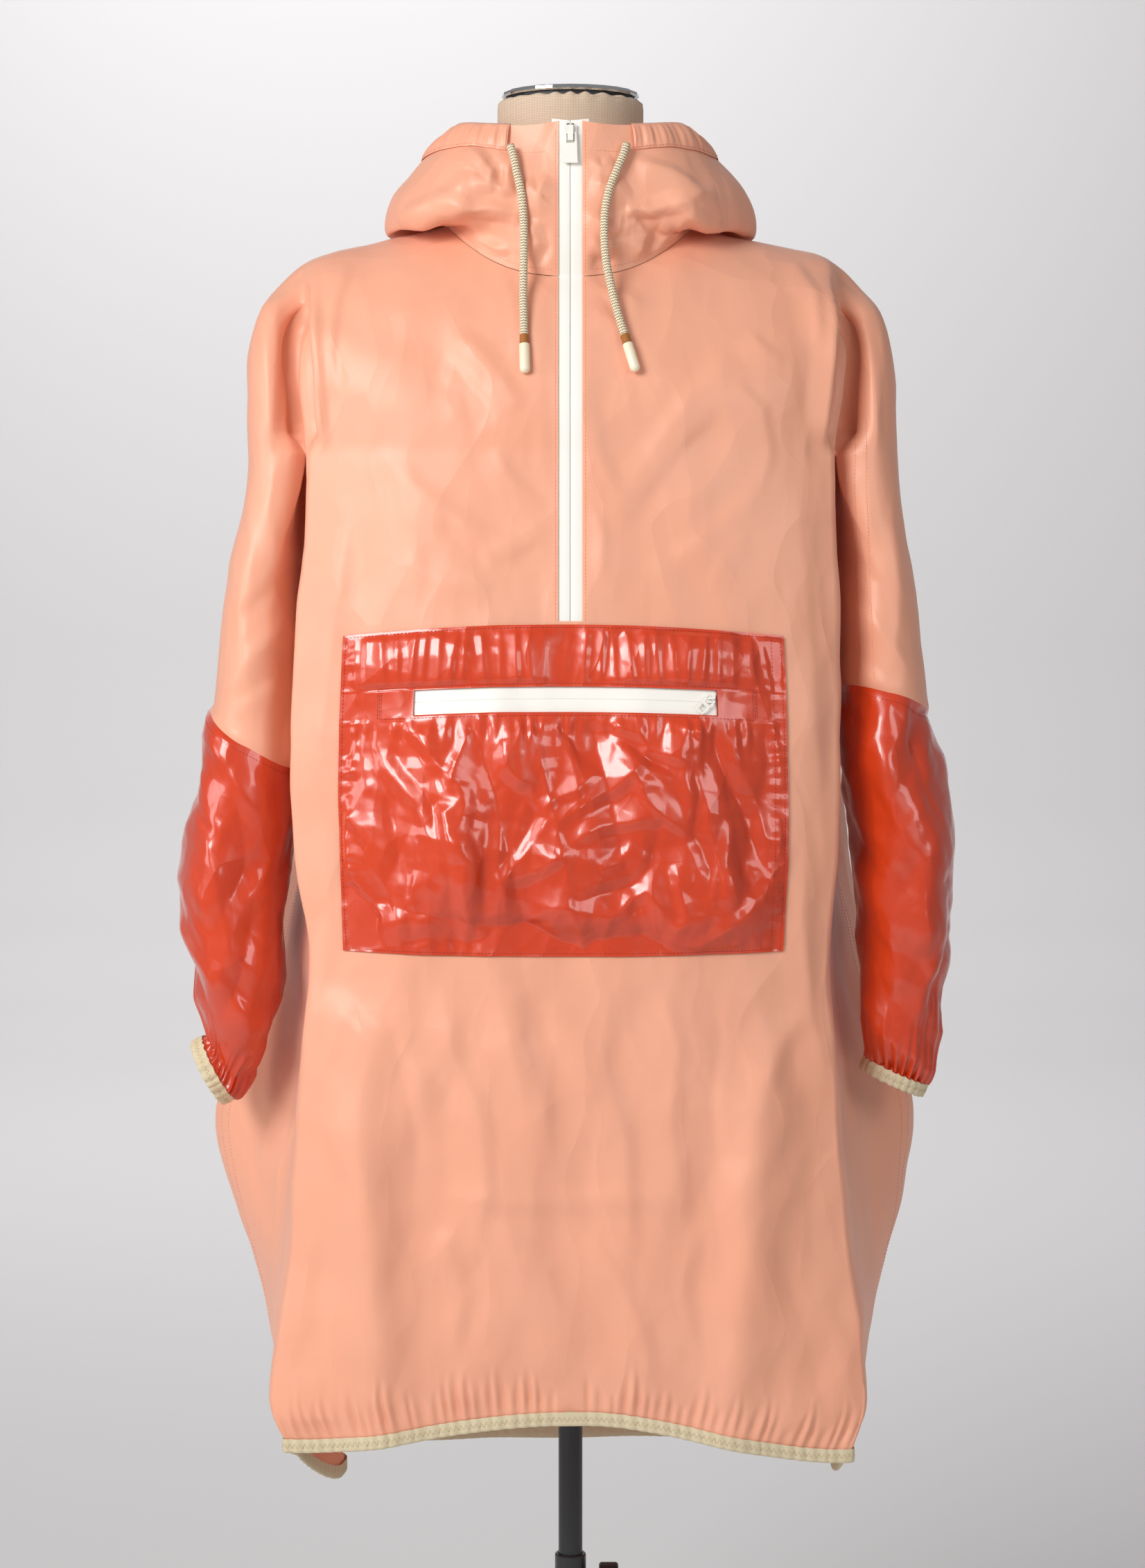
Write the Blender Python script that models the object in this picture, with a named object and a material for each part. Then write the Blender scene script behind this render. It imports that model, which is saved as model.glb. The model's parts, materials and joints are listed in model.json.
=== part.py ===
"""Oversize half-zip windbreaker, worn by a limbless linen dress form on its stand.

Frame: metres, +Z up, the front faces -Y, +X is the viewer's right. The origin is the middle of the
stand's foot, on the floor. Run with: blender --background --python part.py
"""

import math

import bmesh
import bpy
from mathutils import Matrix, Vector
from mathutils.bvhtree import BVHTree

# ---------------------------------------------------------------- driving sizes (metres)
CLOTH = 0.0012  # thickness of every cloth wall
SEAM = 0.00018  # each piece stops this far short of a seam line
LAID = 0.0003  # gap under a piece that lies on a panel
ZIP_HALF = 0.0095  # half of the width between the two zip edges
ARMPIT_Z = 1.300
POCKET_TOP_Z = 1.163
POCKET_LOW_Z = 0.905
BINDING = 0.010  # height of the elastic binding
BINDING_THICK = 0.0030
CORD_R = 0.0033
POLE_R = 0.010
TUBE_R = 0.013
NECK_TOP_Z = 1.5835

HOOD_REST = 0.0045  # the hood's outer side lies this far off the cloth below it
BINDING_LIFT = 0.0009
CUFF_GAP = 0.0006
TAPE_WIDE, TAPE_THICK = 0.0150, 0.0010
ZIP_FOOT = 0.19  # the zip ends this far down the body, under the pocket
POCKET_LEFT, POCKET_RIGHT, POCKET_PUFF = -0.178, 0.1665, 0.011
WINDOW_LEFT, WINDOW_RIGHT, WINDOW_TOP, WINDOW_LOW = 0.167, 0.841, 0.186, 0.262
POCKET_ACROSS = (0.0, 0.045, 0.09, WINDOW_LEFT, 0.25, 0.335, 0.42, 0.505, 0.59, 0.675, 0.758,
                 WINDOW_RIGHT, 0.92, 0.96, 1.0)
POCKET_DOWN = (0.0, 0.04, 0.11, WINDOW_TOP, WINDOW_LOW, 0.35, 0.46, 0.58, 0.71, 0.83, 0.93, 1.0)
NECK_R, CAP_Z, RIM_Z = 0.0590, NECK_TOP_Z + LAID, 1.5905
TORSO_CLEAR = 0.0068
POLE_LOW_Z, TUBE_TOP_Z = 0.150, 0.383
BASE_R, BASE_THICK = 0.160, 0.012
KNOB_R, KNOB_X, KNOB_Z = 0.0125, 0.0240, 0.362

FRONT_COLS, FOLD_COLS, FLANK_COLS, ARM_COLS = 12, 2, 4, 7
HALF_RING = FRONT_COLS + FOLD_COLS + ARM_COLS
YOKE_ROWS = (0.0, 0.14, 0.28, 0.42, 0.56, 0.70, 0.85, 1.0)
BODY_ROWS = (0.0, 0.12, 0.25, 0.38, 0.51, 0.62, 0.72, 0.82, 0.91)
HEM_ROWS = (0.955, 0.98, 1.0)
SLEEVE_ROWS = (0.0, 0.22, 0.48, 0.74, 1.0)
CUFF_COARSE = (0.0, 0.17, 0.34, 0.51, 0.66)
CUFF_FINE = (0.80, 0.91, 1.0)


class Table:
    """Rows of named columns, read between rows with a smooth curve through them."""

    def __init__(self, names, rows):
        self.names = names.split()
        self.rows = rows

    def slope(self, i, c):
        low, high = max(i - 1, 0), min(i + 1, len(self.rows) - 1)
        a, b = self.rows[low], self.rows[high]
        return (b[c] - a[c]) / (b[0] - a[0])

    def at(self, key):
        rows = self.rows
        rising = rows[-1][0] > rows[0][0]
        i = 0
        while i < len(rows) - 2 and (key > rows[i + 1][0]) == rising and key != rows[i + 1][0]:
            i += 1
        a, b = rows[i], rows[i + 1]
        span = b[0] - a[0]
        f = min(max((key - a[0]) / span, 0.0), 1.0)
        found = {}
        for c, name in enumerate(self.names):
            m0, m1 = self.slope(i, c) * span, self.slope(i + 1, c) * span
            h = (2 * f**3 - 3 * f**2 + 1) * a[c] + (f**3 - 2 * f**2 + f) * m0
            h += (-2 * f**3 + 3 * f**2) * b[c] + (f**3 - f**2) * m1
            found[name] = h
        return found


# The yoke runs from the neckline, out over the shoulders and down to the armpits.
YOKE = Table(
    "level wide  top_z  front  front_z back  back_z square drape",
    [
        (0.00, 0.102, 1.485, 0.088, 1.437, 0.075, 1.498, 2.00, 0.00),
        (0.14, 0.145, 1.474, 0.098, 1.420, 0.090, 1.475, 2.10, 0.00),
        (0.28, 0.186, 1.465, 0.106, 1.402, 0.100, 1.452, 2.20, 0.00),
        (0.42, 0.213, 1.456, 0.112, 1.385, 0.107, 1.430, 2.30, 0.00),
        (0.56, 0.231, 1.438, 0.116, 1.366, 0.112, 1.405, 2.35, 0.12),
        (0.70, 0.245, 1.412, 0.120, 1.345, 0.116, 1.375, 2.40, 0.45),
        (0.85, 0.257, 1.365, 0.125, 1.322, 0.121, 1.338, 2.40, 0.82),
        (1.00, 0.2665, 1.300, 0.128, 1.300, 0.125, 1.300, 2.40, 1.00),
    ],
)

# The body below the armpits: fold is the front panel's edge, side the seam, rear the back's edge.
BODY = Table(
    "drop  front  fold_x fold_y flank_x flank_y side_x side_y rear_x rear_y edge_x edge_y back",
    [
        (0.00, 0.128, 0.2090, 0.090, 0.2115, 0.060, 0.2055, 0.000, 0.2115, 0.060, 0.205, 0.095, 0.125),
        (0.13, 0.138, 0.2105, 0.100, 0.2125, 0.060, 0.2075, 0.005, 0.2140, 0.068, 0.213, 0.102, 0.135),
        (0.26, 0.148, 0.2125, 0.108, 0.2140, 0.060, 0.2110, 0.020, 0.2220, 0.080, 0.222, 0.112, 0.142),
        (0.40, 0.155, 0.2110, 0.115, 0.2145, 0.055, 0.2220, 0.050, 0.2350, 0.095, 0.238, 0.125, 0.148),
        (0.53, 0.160, 0.2040, 0.124, 0.2125, 0.042, 0.2500, 0.055, 0.2620, 0.098, 0.258, 0.132, 0.150),
        (0.60, 0.162, 0.2090, 0.127, 0.2180, 0.045, 0.2700, 0.044, 0.2800, 0.090, 0.266, 0.131, 0.151),
        (0.66, 0.164, 0.2115, 0.129, 0.2260, 0.045, 0.2830, 0.032, 0.2900, 0.080, 0.270, 0.130, 0.152),
        (0.75, 0.165, 0.2170, 0.133, 0.2350, 0.050, 0.2760, 0.026, 0.2790, 0.075, 0.262, 0.128, 0.153),
        (0.83, 0.165, 0.2235, 0.137, 0.2370, 0.065, 0.2570, 0.020, 0.2590, 0.070, 0.245, 0.124, 0.151),
        (0.90, 0.164, 0.2315, 0.141, 0.2380, 0.078, 0.2460, 0.010, 0.2460, 0.062, 0.234, 0.117, 0.149),
        (0.96, 0.162, 0.2340, 0.145, 0.2340, 0.090, 0.2330, 0.000, 0.2340, 0.056, 0.222, 0.111, 0.146),
        (1.00, 0.160, 0.2220, 0.148, 0.2200, 0.098, 0.2200, 0.000, 0.2230, 0.052, 0.212, 0.106, 0.143),
    ],
)

# What the wearer's right half (-X) differs by, and the hem's height at the same stations.
LEFT_BODY = Table(
    "drop  fold_x  side_x",
    [
        (0.00, -0.003, 0.000),
        (0.26, 0.006, 0.000),
        (0.40, 0.007, 0.002),
        (0.53, 0.000, 0.005),
        (0.66, 0.003, 0.010),
        (0.75, 0.003, 0.002),
        (0.90, -0.002, -0.004),
        (1.00, 0.003, -0.028),
    ],
)
HEM_Z = {  # middle, front corner, side seam, back corner, back
    1: (0.5440, 0.5110, 0.4660, 0.4560, 0.4520),
    -1: (0.5440, 0.5190, 0.4580, 0.4500, 0.4520),
}

# The sleeves' sections: outer and inner side, front and back.
SLEEVE = Table(
    "z      outer  inner  front  back",
    [
        (1.300, 0.2665, 0.2120, 0.078, 0.078),
        (1.250, 0.2730, 0.2215, 0.080, 0.078),
        (1.200, 0.2790, 0.2233, 0.082, 0.072),
        (1.150, 0.2850, 0.2225, 0.086, 0.066),
        (1.095, 0.2925, 0.2220, 0.090, 0.060),
        (1.040, 0.3050, 0.2235, 0.096, 0.052),
        (0.980, 0.3130, 0.2290, 0.100, 0.042),
        (0.930, 0.3145, 0.2315, 0.100, 0.030),
        (0.870, 0.3095, 0.2345, 0.095, 0.014),
        (0.830, 0.3040, 0.2390, 0.088, 0.000),
        (0.770, 0.2990, 0.2450, 0.080, -0.015),
    ],
)
# elbow seam height outside and inside; the cuff's middle, tilt, half widths; the seam's twist
ARMS = {
    1: dict(elbow_out=1.087, elbow_in=1.113, cuff=(0.2650, -0.050, 0.7985), tilt=-24.0, twist=36.0),
    -1: dict(elbow_out=1.094, elbow_in=1.045, cuff=(0.2870, -0.050, 0.8010), tilt=62.0, twist=8.0),
}
CUFF_WIDE, CUFF_DEEP = 0.0275, 0.0290

# Large pleats and soft folds of the body: side -1 or 1, front or back, the path and the size.
PLEATS = Table(
    "x_top  x_low  drop_top drop_low width  high  back",
    [
        (-0.178, -0.149, 0.53, 1.00, 0.026, 0.016, 0),
        (0.164, 0.125, 0.54, 1.00, 0.026, 0.015, 0),
        (-0.060, -0.040, 0.66, 0.98, 0.040, 0.005, 0),
        (0.050, 0.075, 0.62, 0.98, 0.036, 0.005, 0),
        (-0.165, -0.150, 0.20, 1.00, 0.030, 0.016, 1),
        (0.150, 0.158, 0.24, 1.00, 0.030, 0.015, 1),
        (-0.055, -0.070, 0.35, 1.00, 0.034, 0.009, 1),
        (0.060, 0.052, 0.30, 1.00, 0.036, 0.010, 1),
    ],
)

# The hood's section at each angle round the neck, out from and up from the neckline:
# under is below the lobe, fold its lowest line, lobe its upper side, edge the opening.
HOOD = Table(
    "angle under_r under_z fold_r fold_z lobe_r lobe_z edge_r edge_z",
    [
        (0.0, 0.0015, 0.022, 0.0015, 0.052, -0.002, 0.086, -0.0080, 0.1247),
        (30.0, 0.0020, 0.022, 0.0050, 0.046, 0.004, 0.074, -0.0060, 0.1120),
        (46.0, 0.0020, 0.016, 0.0160, 0.026, 0.020, 0.050, -0.0040, 0.1020),
        (62.0, 0.0040, 0.012, 0.0300, 0.006, 0.030, 0.034, -0.0020, 0.0900),
        (80.0, 0.0060, 0.010, 0.0410, -0.006, 0.036, 0.028, -0.0030, 0.0755),
        (110.0, 0.0080, 0.010, 0.0520, -0.016, 0.048, 0.020, -0.0020, 0.0680),
        (145.0, 0.0120, 0.008, 0.0680, -0.075, 0.076, -0.030, 0.0040, 0.0520),
        (180.0, 0.0160, 0.006, 0.0700, -0.130, 0.086, -0.075, 0.0100, 0.0420),
    ],
)
HOOD_COLS = range(0, 2 * HALF_RING + 1, 2)
HOOD_ROWS = (0.0, 0.08, 0.18, 0.29, 0.38, 0.47, 0.58, 0.70, 0.82, 0.91, 1.0)
LOBE_SIZE = {1: 0.96, -1: 1.04}
CASING_ROW = 8  # the casing covers the hood's rows from here to the opening
CASING_COL = 3  # and its columns from the cord's mouth to the back

# The padded form below the shoulders.
TORSO = Table(
    "z      wide   front  back",
    [
        (1.440, 0.1900, 0.088, 0.090),
        (1.400, 0.1900, 0.099, 0.100),
        (1.330, 0.1820, 0.112, 0.106),
        (1.260, 0.1680, 0.118, 0.104),
        (1.180, 0.1500, 0.112, 0.094),
        (1.080, 0.1330, 0.096, 0.084),
        (1.000, 0.1450, 0.098, 0.094),
        (0.920, 0.1670, 0.106, 0.110),
        (0.870, 0.1720, 0.108, 0.114),
    ],
)
TORSO_LOW_Z = 0.862
TORSO_COLS = range(0, 2 * HALF_RING + 1, 3)

# Free ends of the drawcord: points of the route, from the casing's mouth down.
CORD_LEFT = (
    (-0.0475, -0.0808, 1.5405),
    (-0.0450, -0.0836, 1.5320),
    (-0.0425, -0.0865, 1.5200),
    (-0.0385, -0.0894, 1.5010),
    (-0.0368, -0.0909, 1.4800),
    (-0.0366, -0.0952, 1.4600),
    (-0.0368, -0.0999, 1.4400),
    (-0.0370, -0.1049, 1.4200),
    (-0.0366, -0.1098, 1.4040),
    (-0.0362, -0.1144, 1.3895),
)
CORD_RIGHT = (
    (0.0445, -0.0816, 1.5415),
    (0.0415, -0.0846, 1.5320),
    (0.0365, -0.0877, 1.5200),
    (0.0305, -0.0906, 1.5040),
    (0.0272, -0.0926, 1.4860),
    (0.0268, -0.0964, 1.4660),
    (0.0285, -0.1004, 1.4460),
    (0.0325, -0.1044, 1.4260),
    (0.0375, -0.1090, 1.4060),
    (0.0425, -0.1142, 1.3895),
)
WRAP_LONG, TIP_LONG, TIP_R = 0.0070, 0.0245, 0.0040

# Sliders: half width, low and high end of the body, its thickness, the foot's top below the
# hinge line, the room under the bridge, the bridge's thickness and its half width.
ZIP_SLIDER_SIZES = (0.0052, -0.0078, 0.0072, 0.0030, 0.0012, 0.0019, 0.0015, 0.0022)
ZIP_SLIDER = (0.0, -0.0806, 1.5490)
ZIP_LEAN = 10.5
ZIP_HINGE_OUT = 0.00395
ZIP_PULL_THICK = 0.0012
ZIP_PULL = (
    ((-0.0047, 0.0007), (0.0047, 0.0007), (0.0052, -0.0080), (0.0057, -0.0243), (-0.0057, -0.0243),
     (-0.0052, -0.0080)),
    ((-0.0031, -0.0007), (-0.0031, -0.0082), (0.0031, -0.0082), (0.0031, -0.0007)),
)
POCKET_SLIDER = (0.829, 0.212)
POCKET_SLIDER_SIZES = (0.0034, -0.0039, 0.0037, 0.0022, 0.0022, 0.0016, 0.0010, 0.0007)
POCKET_SEAT = 0.0018
POCKET_HINGE_OUT = 0.0030
POCKET_PULL_THICK = 0.0010
POCKET_PULL_TURN = 45.0
POCKET_PULL = (
    ((-0.0042, 0.0006), (0.0042, 0.0006), (0.0042, -0.0140), (-0.0042, -0.0140)),
    ((-0.0030, -0.0006), (-0.0030, -0.0052), (0.0030, -0.0052), (0.0030, -0.0006)),
    ((-0.0028, -0.0076), (-0.0028, -0.0126), (0.0028, -0.0126), (0.0028, -0.0076)),
)


# ---------------------------------------------------------------- small helpers
def ease(f):
    f = min(max(f, 0.0), 1.0)
    return f * f * (3 - 2 * f)


def mix(a, b, f):
    return a + (b - a) * f


def power(value, exponent):
    return math.copysign(abs(value) ** exponent, value)


def clear_scene():
    for obj in list(bpy.data.objects):
        bpy.data.objects.remove(obj, do_unlink=True)


MATERIALS = {
    "peach_nylon": ((0.90, 0.46, 0.32), 0.55, 0.0),
    "red_nylon": ((0.62, 0.035, 0.012), 0.18, 0.0),
    "cream_elastic": ((0.70, 0.58, 0.38), 0.85, 0.0),
    "white_zip": ((0.88, 0.87, 0.80), 0.45, 0.0),
    "white_plastic": ((0.86, 0.85, 0.78), 0.35, 0.0),
    "cream_cord": ((0.78, 0.66, 0.45), 0.80, 0.0),
    "tan_wrap": ((0.38, 0.14, 0.03), 0.60, 0.0),
    "cream_tip": ((0.86, 0.74, 0.54), 0.30, 0.0),
    "linen": ((0.60, 0.44, 0.31), 0.90, 0.0),
    "chrome": ((0.80, 0.80, 0.80), 0.12, 1.0),
    "black_metal": ((0.018, 0.019, 0.021), 0.40, 1.0),
    "black_plastic": ((0.02, 0.02, 0.02), 0.45, 0.0),
}


def material(name):
    found = bpy.data.materials.get(name)
    if found:
        return found
    colour, roughness, metallic = MATERIALS[name]
    found = bpy.data.materials.new(name)
    found.use_nodes = True
    shader = found.node_tree.nodes["Principled BSDF"]
    shader.inputs["Base Color"].default_value = (*colour, 1.0)
    shader.inputs["Roughness"].default_value = roughness
    shader.inputs["Metallic"].default_value = metallic
    found.diffuse_color = (*colour, 1.0)
    return found


def add_mesh(name, points, faces, finish, sharp=40.0):
    mesh = bpy.data.meshes.new(name)
    mesh.from_pydata([tuple(p) for p in points], [], faces)
    mesh.validate()
    obj = bpy.data.objects.new(name, mesh)
    bpy.context.scene.collection.objects.link(obj)
    mesh.materials.append(material(finish))
    mesh.shade_smooth()
    mesh.set_sharp_from_angle(angle=math.radians(sharp))
    return obj


class Sheet:
    """Points and faces of a cloth surface. Points that fall together are one point."""

    def __init__(self):
        self.points = []
        self.index = {}
        self.faces = {}
        self.brims = {}

    def point(self, p):
        key = tuple(round(v * 1e6) for v in p)
        if key not in self.index:
            self.index[key] = len(self.points)
            self.points.append(Vector(p))
        return self.index[key]

    def face(self, piece, corners):
        ids = []
        for p in corners:
            i = self.point(p)
            if i not in ids:
                ids.append(i)
        found = self.faces.setdefault(piece, [])
        if len(ids) == 5:
            found += [[ids[k] for k in t] for t in ((0, 1, 2), (0, 2, 4), (2, 3, 4))]
        elif len(ids) > 2:
            found += [[ids[0], ids[k], ids[k + 1]] for k in range(1, len(ids) - 1)]

    def grid(self, piece, rows, flip=False):
        for upper, lower in zip(rows, rows[1:]):
            for j in range(len(upper) - 1):
                corners = [upper[j], lower[j], lower[j + 1], upper[j + 1]]
                self.face(piece, corners[::-1] if flip else corners)

    def split(self, piece, upper, lower, flip=False):
        """One row of faces under which there are twice as many columns."""
        for j in range(len(upper) - 1):
            corners = [upper[j], *lower[2 * j : 2 * j + 3], upper[j + 1]]
            self.face(piece, corners[::-1] if flip else corners)

    def normals(self):
        found = [Vector() for _ in self.points]
        for faces in self.faces.values():
            for ids in faces:
                area = Vector()
                for k in range(1, len(ids) - 1):
                    a, b, c = (self.points[ids[n]] for n in (0, k, k + 1))
                    area += (b - a).cross(c - a)
                for i in ids:
                    found[i] += area
        for i, along in self.brims.items():
            found[i] -= along * found[i].dot(along)
        return [n.normalized() for n in found]

    def brim(self, row, along):
        """An edge that another piece meets square, along this direction."""
        for p in row:
            self.brims[self.point(p)] = along


def make_wall(name, sheet, pieces, finish, lift=0.0, thick=CLOTH, trim=SEAM, normals=None):
    """A closed wall on these pieces of a sheet. Its edges stop a little short of the seams."""
    normals = normals or sheet.normals()
    faces = [ids for piece in pieces for ids in sheet.faces[piece]]
    used = sorted({i for ids in faces for i in ids})
    local = {i: k for k, i in enumerate(used)}
    edges = {}
    for ids in faces:
        for a, b in zip(ids, ids[1:] + ids[:1]):
            edges[(a, b)] = edges.get((a, b), 0) + 1
    border = [(a, b) for (a, b) in edges if (b, a) not in edges]
    on_border = {i for edge in border for i in edge}
    towards = {i: Vector() for i in on_border}
    for ids in faces:
        middle = sum((sheet.points[i] for i in ids), Vector()) / len(ids)
        for i in ids:
            if i in towards:
                towards[i] += (middle - sheet.points[i]).normalized()
    outer, inner = [], []
    for i in used:
        p = sheet.points[i].copy()
        if i in towards and trim:
            p += towards[i].normalized() * trim
        outer.append(p + normals[i] * lift)
        inner.append(p + normals[i] * (lift - thick))
    count = len(used)
    shell = [[local[i] for i in ids] for ids in faces]
    shell += [[local[i] + count for i in reversed(ids)] for ids in faces]
    shell += [[local[b], local[a], local[a] + count, local[b] + count] for a, b in border]
    return add_mesh(name, outer + inner, shell, finish)


def tree_of(sheet, pieces=None):
    faces = [ids for piece in (pieces or sheet.faces) for ids in sheet.faces[piece]]
    return BVHTree.FromPolygons([tuple(p) for p in sheet.points], faces)


def rest_on(tree, p, gap):
    """The point itself, or where it rests on the surface with this gap."""
    place, normal, _, _ = tree.find_nearest(Vector(p))
    if (Vector(p) - place).dot(normal) >= gap:
        return Vector(p)
    return place + normal * gap


def spline(points, spans):
    """A smooth curve through the points, with spans[i] steps between points i+1 and i+2."""
    found = []
    for i, steps in enumerate(spans):
        a, b, c, d = (Vector(points[i + k]) for k in range(4))
        for s in range(steps):
            t = s / steps
            found.append(
                0.5
                * (
                    2 * b
                    + (c - a) * t
                    + (2 * a - 5 * b + 4 * c - d) * t**2
                    + (3 * b - a - 3 * c + d) * t**3
                )
            )
    found.append(Vector(points[len(spans) + 1]))
    return found


# ---------------------------------------------------------------- the cloth's shape
def neck_ring(level):
    """Half of a yoke ring on the +X side: front edge of the zip, fold, outside, fold, back."""
    r = YOKE.at(level)
    n = r["square"]
    fold = 0.90 * r["wide"]
    start = math.asin(0.90 ** (n / 2))
    ring = []
    for i in range(FRONT_COLS + 1):
        x = mix(ZIP_HALF, fold, i / FRONT_COLS)
        ring.append((x, -r["front"] * (1 - (x / r["wide"]) ** n) ** (1 / n)))
    turns = FOLD_COLS + ARM_COLS
    for i in range(1, turns + 1):
        a = mix(start, math.pi / 2, i / turns)
        ring.append((r["wide"] * math.sin(a) ** (2 / n), -r["front"] * math.cos(a) ** (2 / n)))
    for i in range(turns - 1, 0, -1):
        a = mix(start, math.pi / 2, i / turns)
        ring.append((r["wide"] * math.sin(a) ** (2 / n), r["back"] * math.cos(a) ** (2 / n)))
    for i in range(FRONT_COLS, -1, -1):
        x = fold * i / FRONT_COLS
        ring.append((x, r["back"] * (1 - (x / r["wide"]) ** n) ** (1 / n)))
    points = []
    for x, y in ring:
        middle_z = r["front_z"] if y < 0 else r["back_z"]
        rise = (x / r["wide"]) ** 2.5
        points.append(Vector((x, y, mix(middle_z, r["top_z"], rise))))
    return points


def sleeve_place(z, angle, side):
    """A point of a sleeve's section. Angle 0 is outside, 90 the front and 180 the inner side."""
    r = SLEEVE.at(z)
    middle_x = (r["outer"] + r["inner"]) / 2
    middle_y = (r["back"] - r["front"]) / 2
    wide = (r["outer"] - r["inner"]) / 2
    deep = (r["back"] + r["front"]) / 2
    turn = ARMS[side]["twist"] * ease((ARMPIT_Z - z) / 0.14)
    a = math.radians(angle - turn)
    n = 2.3
    return Vector((middle_x + wide * power(math.cos(a), 2 / n),
                   middle_y - deep * power(math.sin(a), 2 / n), z))


ARM_ANGLE = 120.0  # from the outside of the sleeve to the valley that parts it from the body


def body_ring(drop, side):
    """Half of a body ring: front, fold, flank, side seam, flank, back edge, back."""
    r = BODY.at(drop)
    if side < 0:
        extra = LEFT_BODY.at(drop)
        r["fold_x"] += extra["fold_x"]
        r["side_x"] += extra["side_x"]
        r["rear_x"] += extra["side_x"]
    ring = []
    for i in range(FRONT_COLS + 1):
        x = mix(ZIP_HALF, r["fold_x"], i / FRONT_COLS)
        ring.append(Vector((x, -mix(r["front"], r["fold_y"], (x / r["fold_x"]) ** 3))))
    before = 0.86 * r["fold_x"]
    after = 0.86 * r["edge_x"]
    stations = [
        (before, -mix(r["front"], r["fold_y"], 0.86**3)),
        (r["fold_x"], -r["fold_y"]),
        (r["flank_x"], -r["flank_y"]),
        (r["side_x"], r["side_y"]),
        (r["rear_x"], r["rear_y"]),
        (r["edge_x"], r["edge_y"]),
        (after, mix(r["back"], r["edge_y"], 0.86**3)),
    ]
    ring += spline(stations, (FOLD_COLS, FLANK_COLS, FLANK_COLS, FOLD_COLS))[1:]
    for i in range(FRONT_COLS - 1, -1, -1):
        x = r["edge_x"] * i / FRONT_COLS
        ring.append(Vector((x, mix(r["back"], r["edge_y"], (x / r["edge_x"]) ** 3))))
    return ring


def hem_height(column, side):
    middle, corner, seam, rear, back = HEM_Z[side]
    stations = (
        (0, middle),
        (FRONT_COLS, corner),
        (FRONT_COLS + FOLD_COLS + FLANK_COLS, seam),
        (FRONT_COLS + 2 * (FOLD_COLS + FLANK_COLS), rear),
        (2 * (FRONT_COLS + FOLD_COLS + FLANK_COLS), back),
    )
    for (c0, z0), (c1, z1) in zip(stations, stations[1:]):
        if column <= c1:
            return mix(z0, z1, ease((column - c0) / (c1 - c0)))
    return back


def pleat_height(x, drop, back):
    total = 0.0
    for x_top, x_low, top, low, width, high, behind in PLEATS.rows:
        if behind != back or drop < top:
            continue
        f = (drop - top) / (low - top)
        grown = ease(f / 0.45) * (1.0 - 0.55 * ease((f - 0.8) / 0.2))
        reach = (x - mix(x_top, x_low, min(f, 1.0))) / width
        total += high * grown * math.exp(-reach * reach)
    return total


def gather(drop, column):
    """In and out at the hem: whole columns stand out, halves fall in."""
    if drop < 0.93:
        return 0.0
    grown = ease((drop - 0.93) / 0.04) * (1.0 - 0.62 * ease((drop - 0.975) / 0.025))
    swing = 1.0 if column == int(column) else -1.0
    return 0.0030 * grown * swing * (0.75 + 0.25 * math.sin(2.7 * column))


def body_row(drop, side, fine=False, plain=False):
    ring = body_ring(drop, side)
    last = len(ring) - 1
    columns = [c / 2 for c in range(2 * last + 1)] if fine else list(range(last + 1))
    row = []
    for c in columns:
        low = int(c)
        p = ring[low] if c == low else (ring[low] + ring[low + 1]) / 2
        before = ring[max(low - 1, 0)]
        after = ring[min(low + (1 if c == low else 2), last)]
        along = after - before
        if along.length < 1e-9:
            along = Vector((1.0, 0.0))
        out = Vector((along.y, -along.x)).normalized()
        panel = 0 if c <= last / 2 else 1
        lift = 0.0 if plain else gather(drop, c)
        if low < FRONT_COLS or low > last - FRONT_COLS:
            sign = -1 if panel == 0 else 1
            p = Vector((p.x, p.y + sign * pleat_height(side * p.x, drop, panel)))
        p = p + out * lift
        if c == 0:
            p.x = ZIP_HALF
        if c == last:
            p.x = 0.0
        hem = (hem_height(low, side) + hem_height(math.ceil(c), side)) / 2
        z = mix(ARMPIT_Z, hem, drop)
        row.append(Vector((side * p.x, p.y, z)))
    return row


def yoke_row(level, side):
    """A yoke ring, drawn into the body's and the sleeve's outline as it comes down."""
    ring = neck_ring(level)
    drape = YOKE.at(level)["drape"]
    body = body_ring(0.0, side)
    reach = FRONT_COLS + FOLD_COLS
    arm = []
    for k in range(ARM_COLS + 1):
        f = k / ARM_COLS
        place = sleeve_place(ARMPIT_Z, ARM_ANGLE * (1 - f), side)
        start = sleeve_place(ARMPIT_Z, ARM_ANGLE, side)
        valley = Vector((body[reach].x, body[reach].y, ARMPIT_Z))
        arm.append(place + (valley - start) * (1 - f) ** 2)
    for k in range(ARM_COLS - 1, -1, -1):
        f = k / ARM_COLS
        place = sleeve_place(ARMPIT_Z, -ARM_ANGLE * (1 - f), side)
        start = sleeve_place(ARMPIT_Z, -ARM_ANGLE, side)
        rear = body[reach + 2 * FLANK_COLS]
        valley = Vector((rear.x, rear.y, ARMPIT_Z))
        arm.append(place + (valley - start) * (1 - f) ** 2)
    target = [Vector((p.x, p.y, 0)) for p in body[: reach + 1]]
    target += [Vector((p.x, p.y, 0)) for p in arm[1:-1]]
    target += [Vector((p.x, p.y, 0)) for p in body[reach + 2 * FLANK_COLS :]]
    row = []
    for p, t in zip(ring, target):
        row.append(Vector((side * mix(p.x, t.x, drape), mix(p.y, t.y, drape), p.z)))
    return row


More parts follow.
